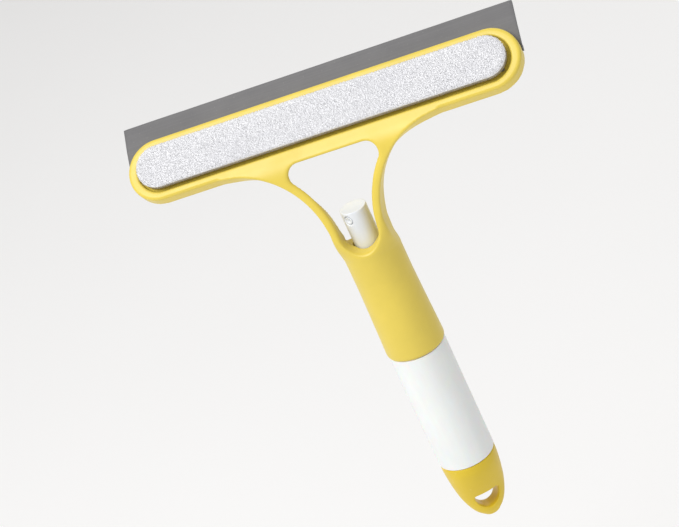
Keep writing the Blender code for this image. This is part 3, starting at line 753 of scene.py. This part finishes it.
def rebate_cutter():
    """Thins the arms and the bar from behind, so that only the skin and an outer wall stay."""
    wide = GRIP_RADIUS - 2.0
    narrow = wide - 3.0
    corners = ((-wide, REBATE_FRONT), (wide, REBATE_FRONT), (narrow, REBATE_BACK), (-narrow, REBATE_BACK))
    sections = [[(x, y, REBATE_FLOOR) for x, y in corners]]
    for x, run in opening_side(ARM_OUTER_WALL, HEAD_EDGE - BAR_SKIRT):
        if run < REBATE_START:
            continue
        near = between(REBATE_SKIN, run)
        back = between(NECK_DEPTHS, run) + 1.5
        narrow = x - between(REBATE_TAPER, run)
        loop = [(-x, near), (x, near), (narrow, back), (-narrow, back)]
        sections.append([behind_front(at, run, depth) for at, depth in loop])
    return place_mesh("rebate_cutter", loft(sections))


def screw_drills(name, sides, profile):
    """A turned cutter at the place of every screw."""
    middle = (SCREW_COUNT - 1) / 2.0
    places = [(SCREW_SPACING * (number - middle), SCREW_LEVEL, 0.0) for number in range(SCREW_COUNT)]
    return [place_mesh(name, turned(profile, sides), turn=HEAD @ Matrix.Translation(place))
            for place in places]


def make_head(plastic):
    """Grip, neck and tray in one moulding."""
    shell = grip_and_neck()
    tray_levels = [(0.0, -RIM_HEIGHT)] + quarter_round(RIM_ROUND, 0.0, 8)
    tray = place_mesh("tray", slab(HEAD_WIDTH, HEAD_HEIGHT, tray_levels), turn=HEAD)
    skirt_outline = stadium(HEAD_WIDTH, HEAD_HEIGHT, high=COVER_SPLIT)
    skirt = place_mesh("skirt", prism(skirt_outline, -SKIRT_HEIGHT, -1.0 - RIM_ROUND), turn=HEAD)
    lip = [(-out, z) for out, z in quarter_round(RECESS_ROUND, 0.0, 6)]
    recess_levels = [(0.0, -RECESS_DEPTH), *lip, (-RECESS_ROUND - 2.0, 2.0)]
    recess = place_mesh("recess", slab(RECESS_WIDTH, RECESS_HEIGHT, recess_levels), turn=HEAD)
    inner = 2.0 * SKIRT_WALL
    pocket_outline = stadium(HEAD_WIDTH - inner, HEAD_HEIGHT - inner, high=COVER_SPLIT + 3.0)
    pocket = place_mesh("pocket", prism(pocket_outline, -SKIRT_HEIGHT - 9.0, -RIM_HEIGHT), turn=HEAD)
    bores = place_mesh("bores", turned([
        (0.0, GRIP_FOOT - 5.0), (SLEEVE_BORE[0], GRIP_FOOT - 5.0), SLEEVE_BORE,
        (COLLAR_BORE[0], SLEEVE_BORE[1]), COLLAR_BORE, (BUTTON_WELL, COLLAR_BORE[1]),
        (BUTTON_WELL, CHANNEL_FLOOR + 12.0), (0.0, CHANNEL_FLOOR + 12.0)]))
    pilots = screw_drills("pilot", 24, rod(PILOT_RADIUS, -SKIRT_HEIGHT, -RECESS_DEPTH - 0.5))
    cuts = (opening_cutter(), rebate_cutter(), recess, pocket, bores, opening_flare(), *pilots)
    shape_with(shell, (tray, skirt), cuts)
    soften(shell, "moulded_frame", plastic, 0.6, 7, 0.55)
    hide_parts("head_frame")
    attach(shell, "handle")


# ---- cover and screws

def make_cover(plastic):
    """The clamping cover, with a shallow panel on its back."""
    inset = 2.0 * (SKIRT_WALL + GAP)
    lower = stadium(HEAD_WIDTH - inset, HEAD_HEIGHT - inset, high=COVER_SPLIT)
    step = stadium(HEAD_WIDTH - inset, HEAD_HEIGHT - inset, low=COVER_STEP)
    upper = stadium(HEAD_WIDTH - 1.5, HEAD_HEIGHT - 1.1, low=COVER_SPLIT + GAP)
    cover = place_mesh("cover", prism(lower, -SKIRT_HEIGHT, -RIM_HEIGHT - GAP), turn=HEAD)
    bulge = place_mesh("bulge", prism(step, -COVER_BACK, -CLAMP_FACE), turn=HEAD)
    clamp = place_mesh("clamp", prism(upper, -COVER_BACK, -CLAMP_FACE), turn=HEAD)
    bead = box_outline(2.0 * HEAD_WIDTH, BLADE_FOOT - GAP, BLADE_FOOT + BEAD_HEIGHT + GAP)
    groove = place_mesh("groove", prism(bead, -BEAD_BACK - GAP, -RIM_HEIGHT), turn=HEAD)
    panel_outline = [(x, y + 7.0) for x, y in stadium(HEAD_WIDTH - 34.0, 9.0)]
    panel = place_mesh("panel", prism(panel_outline, -COVER_BACK - 2.0, -COVER_BACK + 0.7), turn=HEAD)
    seats = screw_drills("seat", 32, [
        (0.0, -SKIRT_HEIGHT - 3.0), (SCREW_HEAD + GAP, -SKIRT_HEIGHT - 3.0),
        (SCREW_HEAD + GAP, -SCREW_SEAT + GAP), (SCREW_SHANK + GAP, -SCREW_SEAT + GAP),
        (SCREW_SHANK + GAP, 0.0), (0.0, 0.0)])
    shape_with(cover, (bulge, clamp), (groove, panel, *seats))
    soften(cover, "clamping_cover", plastic, 0.5, 4, 0.5)
    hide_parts("back_cover")
    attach(cover, "handle")


def new_tree(name, inputs):
    """A node group for geometry with named inputs; gives the tree, its inputs and their identifiers."""
    tree = bpy.data.node_groups.new(name, "GeometryNodeTree")
    tree.interface.new_socket("Geometry", in_out="INPUT", socket_type="NodeSocketGeometry")
    tree.interface.new_socket("Geometry", in_out="OUTPUT", socket_type="NodeSocketGeometry")
    names = {}
    for label, kind in inputs:
        socket = tree.interface.new_socket(label, in_out="INPUT", socket_type="NodeSocket" + kind)
        names[label] = socket.identifier
    return tree, add_node(tree, "NodeGroupInput").outputs, names


def add_node(tree, kind, settings=None, inputs=None):
    """Add a geometry node; an input that is an output socket is linked."""
    node = tree.nodes.new(kind)
    for key, value in (settings or {}).items():
        setattr(node, key, value)
    for key, value in (inputs or {}).items():
        if isinstance(value, bpy.types.NodeSocket):
            tree.links.new(value, node.inputs[key])
        else:
            node.inputs[key].default_value = value
    return node


def close_tree(tree, geometry, material):
    """Realise the instances, give them their material and link the output."""
    real = add_node(tree, "GeometryNodeRealizeInstances", None, {"Geometry": geometry})
    dressed = add_node(tree, "GeometryNodeSetMaterial", None,
                       {"Geometry": real.outputs[0], "Material": material})
    add_node(tree, "NodeGroupOutput", None, {0: dressed.outputs[0]})


def run_tree(piece, tree, names, values):
    """Run a tree on a piece and keep its result as the piece's mesh."""
    change = piece.modifiers.new(tree.name, "NODES")
    change.node_group = tree
    for label, value in values.items():
        change[names[label]] = value
    settle(piece)


def make_screws(steel):
    """One screw, repeated along the cover."""
    tree, given, names = new_tree("screw_row", [
        ("Count", "Int"), ("Start", "Vector"), ("Spacing", "Vector"), ("Finish", "Material")])
    row = add_node(tree, "GeometryNodeMeshLine", None,
                   {"Count": given["Count"], "Start Location": given["Start"], "Offset": given["Spacing"]})
    placed = add_node(tree, "GeometryNodeInstanceOnPoints", None,
                      {"Points": row.outputs[0], "Instance": given["Geometry"]})
    close_tree(tree, placed.outputs[0], given["Finish"])
    profile = eased([
        (0.0, -SKIRT_HEIGHT), (SCREW_HEAD, -SKIRT_HEIGHT), (SCREW_HEAD, -SCREW_SEAT),
        (SCREW_SHANK, -SCREW_SEAT), (SCREW_SHANK, -SCREW_POINT - 0.8), (0.0, -SCREW_POINT)], 0.4, 3)
    screw = place_mesh("screw", turned(profile, 32))
    slots = []
    for a, b in ((1.6, 0.35), (0.35, 1.6)):
        slot = prism(box_outline(a, -b, b), -SKIRT_HEIGHT - 1.0, -SKIRT_HEIGHT + 0.8)
        slots.append(place_mesh("slot", slot))
    shape_with(screw, (), slots)
    screw.data.transform(HEAD.to_3x3().to_4x4())
    first = HEAD @ Vector((-SCREW_SPACING * (SCREW_COUNT - 1) / 2.0, SCREW_LEVEL, 0.0))
    run_tree(screw, tree, names, {
        "Count": SCREW_COUNT, "Start": tuple(first * MM), "Spacing": (SCREW_SPACING * MM, 0.0, 0.0),
        "Finish": steel})
    screw.name = "cover_screws"
    smooth(screw.data)
    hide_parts(*(f"cover_screw_{number}" for number in range(1, SCREW_COUNT + 1)))
    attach(screw, "handle")


# ---- blade

def make_blade(rubber):
    """The wiping strip: a straight extrusion that is never quite true, with a fine ground edge."""
    bend = HEAD_HEIGHT / 2.0
    face = RIM_HEIGHT + GAP
    tip_face = face + (BLADE_TIP - bend) * tan(BLADE_LEAN)
    corners = [
        (BLADE_FOOT, -face), (bend, -face), (BLADE_TIP, -tip_face),
        (BLADE_TIP - 0.8, -tip_face - BLADE_TIP_THICKNESS), (bend, -face - BLADE_THICKNESS),
        (BLADE_FOOT + BEAD_HEIGHT, -face - BLADE_THICKNESS), (BLADE_FOOT + BEAD_HEIGHT, -BEAD_BACK),
        (BLADE_FOOT, -BEAD_BACK)]
    outline = eased(corners, 0.35, 3)
    sections = []
    for i in range(BLADE_SECTIONS):
        x = BLADE_WIDTH * (i / (BLADE_SECTIONS - 1) - 0.5)
        tuck = BLADE_END_TUCK if i in (0, BLADE_SECTIONS - 1) else 0.0
        loop = []
        for up, out in outline:
            free = max(0.0, (up - bend) / (BLADE_TIP - bend))
            wave = sum(height * free * noise.noise(Vector((x * rate, place, 0.0)))
                       for height, rate, place in BLADE_WAVES)
            sunk = 0.5 * tuck if out > -face - 1.0 else 0.0
            loop.append((x, up - 0.6 * tuck * free, out + wave - sunk))
        sections.append(loop)
    blade = place_mesh("wiping_blade", loft(sections), rubber, HEAD, 50.0)
    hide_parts("blade")
    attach(blade, "handle")


# ---- pad

def pad_outline(width, height):
    """A stadium outline with points along its straight sides as well."""
    radius = height / 2.0
    reach = width / 2.0 - radius
    top = [(reach - 2.0 * reach * i / PAD_STEPS, radius) for i in range(1, PAD_STEPS)]
    foot = [(-x, -y) for x, y in top]
    right = arc((reach, 0.0), radius, -90.0, 90.0, PAD_END_STEPS)
    left = arc((-reach, 0.0), radius, 90.0, 270.0, PAD_END_STEPS)
    return right + top + left + foot


def crowned_pad(name, size, levels, material):
    """A pad skinned from levels of (inset, height), then closed by rings that run to its middle line."""
    shape = bmesh.new()
    outline = pad_outline(*size)
    radius = size[1] / 2.0
    reach = size[0] / 2.0 - radius

    def ring(inset, level):
        made = []
        for x, y in outline:
            core = Vector((max(-reach, min(reach, x)), 0.0))
            away = Vector((x, y)) - core
            at = core + away * (1.0 - inset / radius)
            height = pile_height(at.x, at.y, inset) if level is None else level
            made.append(shape.verts.new((at.x, at.y, height)))
        return made

    rings = [ring(inset, level) for inset, level in levels]
    join_loops(shape, rings)
    bmesh.ops.remove_doubles(shape, verts=rings[-1], dist=0.001)
    return place_mesh(name, shape, material, HEAD @ Matrix.Translation((*PAD_SEAT, 0.0)), 80.0)


def pile_height(x, y, inset):
    """The pile's soft crown, with slow dents where it has been pressed."""
    rise = min(inset / PILE_ROUND, 1.0)
    crown = PAD_PROUD - PILE_SHOULDER + sin(rise * pi / 2.0)
    slow = 0.22 * noise.noise(Vector((x * 0.05, y * 0.09, 1.7)))
    clumps = 0.16 * noise.noise(Vector((x * 0.45, y * 0.45, 5.2)))
    return crown + (slow + clumps) * rise


def make_pad(pile_finish, foam_finish, backing_finish):
    """Foam core, loop backing and a white plush face with its fibres."""
    middle = (FOAM_FOOT + FOAM_TOP) / 2.0
    foam_levels = [(0.9, FOAM_FOOT), (0.3, FOAM_FOOT + 0.1), (0.0, FOAM_FOOT + 0.4), (0.12, middle),
                   (0.0, FOAM_TOP - 0.4), (0.3, FOAM_TOP - 0.1), (0.9, FOAM_TOP),
                   (FOAM_SIZE[1] / 2.0, FOAM_TOP)]
    foam = crowned_pad("foam_core", FOAM_SIZE, foam_levels, foam_finish)
    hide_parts("pad_foam")
    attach(foam, "handle")

    backing_levels = [(0.0, -1.55), (-0.1, -1.2), (0.0, -0.75), (PAD_HEIGHT / 2.0 - 1.1, -0.75)]
    backing = crowned_pad("loop_backing", (PAD_WIDTH - 2.2, PAD_HEIGHT - 2.2), backing_levels, backing_finish)
    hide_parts("pad_backing")
    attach(backing, "handle")

    skirt = [(0.9, FOAM_TOP + 0.08), (0.45, FOAM_TOP + 0.12), (0.25, FOAM_TOP + 0.35), (0.2, FOAM_TOP + 0.7)]
    insets = [0.35, 0.7, 1.1, 1.6, 2.2, 2.8] + [3.4 + 0.55 * i for i in range(15)] + [PILE_SIZE[1] / 2.0]
    plush = crowned_pad("plush_face", PILE_SIZE, skirt + [(inset, None) for inset in insets], pile_finish)
    add_fibres(plush, pile_finish)
    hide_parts("pad_pile")
    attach(plush, "handle")


def add_fibres(plush, finish):
    """Scatter short tufts over the plush."""
    tree, given, names = new_tree("plush_fibres", [
        ("Density", "Float"), ("Length", "Float"), ("Thickness", "Float"), ("Finish", "Material")])
    upright = add_node(tree, "GeometryNodeInputNormal")
    facing = add_node(tree, "ShaderNodeVectorMath", {"operation": "DOT_PRODUCT"},
                      {0: upright.outputs[0], 1: tuple(HEAD.to_3x3() @ Vector((0.0, 0.0, 1.0)))})
    open_side = add_node(tree, "FunctionNodeCompare", {"operation": "GREATER_THAN"},
                         {"A": facing.outputs["Value"], "B": 0.35})
    scatter = add_node(tree, "GeometryNodeDistributePointsOnFaces", None,
                       {"Mesh": given["Geometry"], "Selection": open_side.outputs[0],
                        "Density": given["Density"], "Seed": 7})
    tuft = add_node(tree, "GeometryNodeMeshCone", {"fill_type": "NONE"},
                    {"Vertices": 3, "Radius Top": 0.00003, "Radius Bottom": given["Thickness"],
                     "Depth": given["Length"]})
    lean = add_node(tree, "FunctionNodeRandomValue", {"data_type": "FLOAT_VECTOR"},
                    {"Min": (-0.5, -0.5, -3.1), "Max": (0.5, 0.5, 3.1), "Seed": 11})
    size = add_node(tree, "FunctionNodeRandomValue", None, {2: 0.6, 3: 1.25, "Seed": 13})
    stood = add_node(tree, "GeometryNodeInstanceOnPoints", None,
                     {"Points": scatter.outputs["Points"], "Instance": tuft.outputs[0],
                      "Rotation": scatter.outputs["Rotation"], "Scale": size.outputs[1]})
    leaning = add_node(tree, "GeometryNodeRotateInstances", None,
                       {"Instances": stood.outputs[0], "Rotation": lean.outputs[0], "Local Space": True})
    both = add_node(tree, "GeometryNodeJoinGeometry")
    tree.links.new(leaning.outputs[0], both.inputs[0])
    tree.links.new(given["Geometry"], both.inputs[0])
    close_tree(tree, both.outputs[0], given["Finish"])
    run_tree(plush, tree, names, {"Density": 9.0e6, "Length": 0.0006, "Thickness": 0.00017, "Finish": finish})
    plush.data.shade_smooth()


# ---- bottle and cap

def make_bottle(plastic):
    wall = BOTTLE_WALL
    inside_grip = SLEEVE_BORE[0] - 0.5
    in_cap = BOTTLE_RADIUS - CAP_WALL
    foot = CAP_JOINT - CAP_SOCKET + GAP
    top = GRIP_FOOT - GAP
    joint = CAP_JOINT + GAP
    profile = eased([
        (0.0, foot), (in_cap, foot), (in_cap, joint), (BOTTLE_RADIUS, joint), (BOTTLE_RADIUS, top),
        (inside_grip, top), (inside_grip, SHOULDER - 2.0), (inside_grip - 3.0, SHOULDER + 1.0),
        (NECK_RADIUS, SHOULDER + 1.8), (NECK_RADIUS, MOUTH), (NECK_RADIUS - 1.4, MOUTH),
        (NECK_RADIUS - 1.4, SHOULDER + 0.4), (inside_grip - 3.6, SHOULDER - 0.4),
        (inside_grip - wall, SHOULDER - 3.2), (inside_grip - wall, top - wall),
        (BOTTLE_RADIUS - wall, top - wall), (BOTTLE_RADIUS - wall, joint + wall),
        (in_cap - wall, joint + wall), (in_cap - wall, foot + wall), (0.0, foot + wall)], 0.7, 5)
    bottle = place_mesh("blown_bottle", turned(profile))
    ridge = [(-0.3, -0.7), (0.5, -0.45), (1.0, -0.15), (1.0, 0.15), (0.5, 0.45), (-0.3, 0.7)]
    thread = place_mesh("thread", helix(NECK_RADIUS, ridge, THREAD_START, THREAD_TURNS, THREAD_PITCH, 0.85))
    shape_with(bottle, (thread,))
    coat(bottle, plastic)
    smooth(bottle.data)
    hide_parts("bottle")
    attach(bottle, "reservoir")


def hang_outline(scale, y):
    """The hanging hole: straight towards the head, round towards the tip."""
    middle = CAP_JOINT - HANG_TOP - HANG_DEPTH / 2.0
    corner = 1.5
    reach = HANG_HALF_WIDTH
    top = HANG_DEPTH / 2.0
    points = arc((reach - corner, top - corner), corner, 0, 90, 6)
    points += arc((corner - reach, top - corner), corner, 90, 180, 6)
    bowl = [pi * i / 28 for i in range(1, 28)]
    points += [(-reach * cos(a), top - corner - (HANG_DEPTH - corner) * sin(a)) for a in bowl]
    return [(x * scale, y, middle + z * scale) for x, z in points]


def make_cap(plastic):
    """The end cap: round at its joint, flattened to a rounded tip with a hanging hole."""
    sections = []
    stations = [0.0, 0.15, 0.5] + [1.5 * i for i in range(1, 26)] + [38.6, 39.6, 40.6, 41.5, 42.3, 43.0, 43.5]
    for below in stations:
        ease = 0.35 * (1.0 - below / 0.5) ** 2 if below < 0.5 else 0.0
        across = between(CAP_WIDTHS, below) - ease
        through = between(CAP_DEPTHS, below) - ease
        sections.append([(across * cos(a), through * sin(a), CAP_JOINT - below) for a in full_turn(ROUND)])
    end = sections[-1]
    for share, below in ((0.85, 44.1), (0.62, 44.6), (0.35, 44.9), (0.12, CAP_LENGTH)):
        sections.append([(x * share, y * share, CAP_JOINT - below) for x, y, _ in end])
    spin = Matrix.Rotation(CAP_TURN, 4, "Z")
    cap = place_mesh("cap", loft(sections), turn=spin)
    plug = BOTTLE_RADIUS - CAP_WALL + GAP
    socket = place_mesh("socket", turned(rod(plug, CAP_JOINT - CAP_SOCKET, CAP_JOINT + 5.0)))
    front_half = ((1.45, -14.0), (1.12, -6.2), (1.03, -4.0), (1.0, -2.5))
    flares = (*front_half, *((scale, -y) for scale, y in reversed(front_half)))
    hole = place_mesh("hole", loft([hang_outline(scale, y) for scale, y in flares]), turn=spin)
    shape_with(cap, (), (socket, hole))
    soften(cap, "hanging_cap", plastic, 0.4, 6, 0.8)
    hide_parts("end_cap")
    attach(cap, "reservoir")


# ---- spray button and spring

def make_button(plastic):
    """The spray button: a dished top, a soft edge, and a nozzle set in a ringed pocket."""
    socket = STEM_TOP + GAP
    dish = [(BUTTON_RADIUS * t, BUTTON_TOP - 0.8 + 0.75 * t * t) for t in (0.8, 0.6, 0.4, 0.2)]
    outer = [(6.8, BUTTON_FOOT), (BUTTON_RADIUS, BUTTON_FOOT), (BUTTON_RADIUS, BUTTON_TOP)]
    profile = [(0.0, NOZZLE_LEVEL + 1.0), (0.9, NOZZLE_LEVEL + 1.0), (0.9, socket), (2.5, socket),
               (2.5, BUTTON_FOOT + 0.5), (4.0, BUTTON_FOOT + 0.5), (4.0, socket + 0.5), (6.8, socket + 0.5)]
    profile = eased(profile + outer + dish + [(0.0, BUTTON_TOP - 0.8)], 1.3, 6)
    profile = [(radius, min(max(z, BUTTON_FOOT), BUTTON_TOP)) for radius, z in profile]
    button = place_mesh("button", turned(profile))
    aim = Matrix.Rotation(NOZZLE_TURN, 4, "Z") @ Matrix.Translation((0.0, 0.0, NOZZLE_LEVEL))
    aim = aim @ Matrix.Rotation(radians(90.0), 4, "X")
    rings = [(0.0, 0.0), (0.7, 0.0), (0.7, 5.5), (2.7, 5.5), (2.7, 7.2), (3.3, 8.0), (3.6, 10.0), (0.0, 10.0)]
    shape_with(button, (), (place_mesh("pocket", turned(rings, 48), turn=aim),))
    soften(button, "push_button", plastic, 0.28, 3, 0.6)
    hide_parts("spray_button")
    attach(button, "button")

    jet = eased([(0.35, 5.8), (2.4, 5.8), (2.4, 7.6), (1.6, 7.6), (1.2, 7.2), (0.35, 6.9)], 0.2, 3)
    nozzle = place_mesh("spray_nozzle", turned(jet, 48), plastic, aim, 35.0)
    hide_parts("nozzle")
    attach(nozzle, "button")


def make_spring(steel):
    """The coil under the piston, made at one length; nothing here shortens it as the button goes down."""
    wire = [(SPRING_WIRE * cos(a), SPRING_WIRE * sin(a)) for a in full_turn(10)]
    low = SPRING_FOOT + SPRING_WIRE
    pitch = (SPRING_LENGTH - 2.0 * SPRING_WIRE) / SPRING_TURNS
    spring = place_mesh("coil_spring", helix(SPRING_RADIUS, wire, low, SPRING_TURNS, pitch), steel)
    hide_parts("return_spring")
    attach(spring, "handle")
    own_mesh(spring)


# ---- camera, light and floor

def make_camera():
    """A long lens from the front right, tipped so that the tool leans."""
    rise = radians(26.28)
    swing = radians(15.87)
    roll = radians(24.84)
    toward = Vector((cos(rise) * sin(swing), -cos(rise) * cos(swing), sin(rise)))
    right = Vector((cos(swing), sin(swing), 0.0))
    up = toward.cross(right)
    across = right * cos(roll) - up * sin(roll)
    upward = right * sin(roll) + up * cos(roll)
    turn = Matrix((across, upward, toward)).transposed().to_4x4()
    lens = bpy.data.cameras.new("camera")
    lens.lens = FOCAL_LENGTH
    lens.shift_x, lens.shift_y = LENS_SHIFT
    camera = bpy.data.objects.new("camera", lens)
    camera.matrix_world = Matrix.Translation(Vector((0.0, 0.0, CAMERA_AIM)) + toward * CAMERA_DISTANCE) @ turn
    bpy.context.scene.collection.objects.link(camera)
    bpy.context.scene.camera = camera


def add_light(name, place, aim, power):
    lamp = bpy.data.lights.new(name, "AREA")
    lamp.size = LIGHT_SIZE
    lamp.energy = power
    made = bpy.data.objects.new(name, lamp)
    turn = (place - aim).to_track_quat("Z", "Y").to_matrix().to_4x4()
    made.matrix_world = Matrix.Translation(place) @ turn
    bpy.context.scene.collection.objects.link(made)


def make_studio():
    """Soft light from above and the front left, a fill, a pale floor and a pale surround."""
    middle = Vector((0.0, 0.0, 0.03))
    add_light("key_light", Vector((-1.15, -1.5, 2.8)), middle, 88.0)
    add_light("fill_light", Vector((1.9, -2.2, 0.9)), middle, 3.0)
    add_light("back_light", Vector((0.6, 2.4, 1.8)), middle, 12.0)
    world = bpy.data.worlds.new("studio")
    world.use_nodes = True
    surround = world.node_tree.nodes["Background"].inputs
    surround["Color"].default_value = (1.0, 0.995, 0.99, 1.0)
    surround["Strength"].default_value = 0.5
    bpy.context.scene.world = world
    shape = bmesh.new()
    corners = box_outline(FLOOR_REACH, -FLOOR_REACH, FLOOR_REACH)
    shape.faces.new([shape.verts.new((x, y, FLOOR_LEVEL)) for x, y in corners])
    floor = place_mesh("floor", shape, pale_floor())
    bpy.context.scene.view_settings.view_transform = "Standard"


def dress_carried_nodes(finishes):
    """Give each CAD node that stays its finish."""
    worn = {
        "bottle_collar": "white", "bottle_washer": "seal", "pump_housing": "clear", "stem_guide": "white",
        "dip_tube": "clear", "inlet_ball": "steel", "stem": "white", "piston": "seal",
        "hook_tape_left": "hooks", "hook_tape_right": "hooks"}
    for name, finish in worn.items():
        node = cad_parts[name]
        if not node.material_slots:
            node.data.materials.append(finishes[finish])
        for place in node.material_slots:
            place.link = "OBJECT"
            place.material = finishes[finish]


def main():
    finishes = {
        "yellow": moulded_plastic("yellow_plastic", (0.77, 0.595, 0.085), (0.92, 0.81, 0.40)),
        "golden": moulded_plastic("golden_plastic", (0.74, 0.53, 0.012), (0.90, 0.74, 0.20)),
        "white": moulded_plastic("white_plastic", (0.80, 0.83, 0.87), (0.90, 0.91, 0.93), 0.33),
        "rubber": blade_rubber(),
        "bottle": frosted_plastic(),
        "clear": clear_plastic(),
        "pile": microfibre_pile(),
        "foam": open_foam(),
        "backing": loop_fabric("loop_backing", (0.20, 0.20, 0.20), (0.36, 0.36, 0.37)),
        "hooks": loop_fabric("hook_tape", (0.12, 0.12, 0.12), (0.30, 0.30, 0.30)),
        "seal": seal_rubber(),
        "steel": plated_steel(),
    }
    make_camera()
    make_studio()
    make_head(finishes["yellow"])
    make_cover(finishes["yellow"])
    make_screws(finishes["steel"])
    make_blade(finishes["rubber"])
    make_pad(finishes["pile"], finishes["foam"], finishes["backing"])
    make_bottle(finishes["bottle"])
    make_cap(finishes["golden"])
    make_button(finishes["white"])
    make_spring(finishes["steel"])
    dress_carried_nodes(finishes)


main()
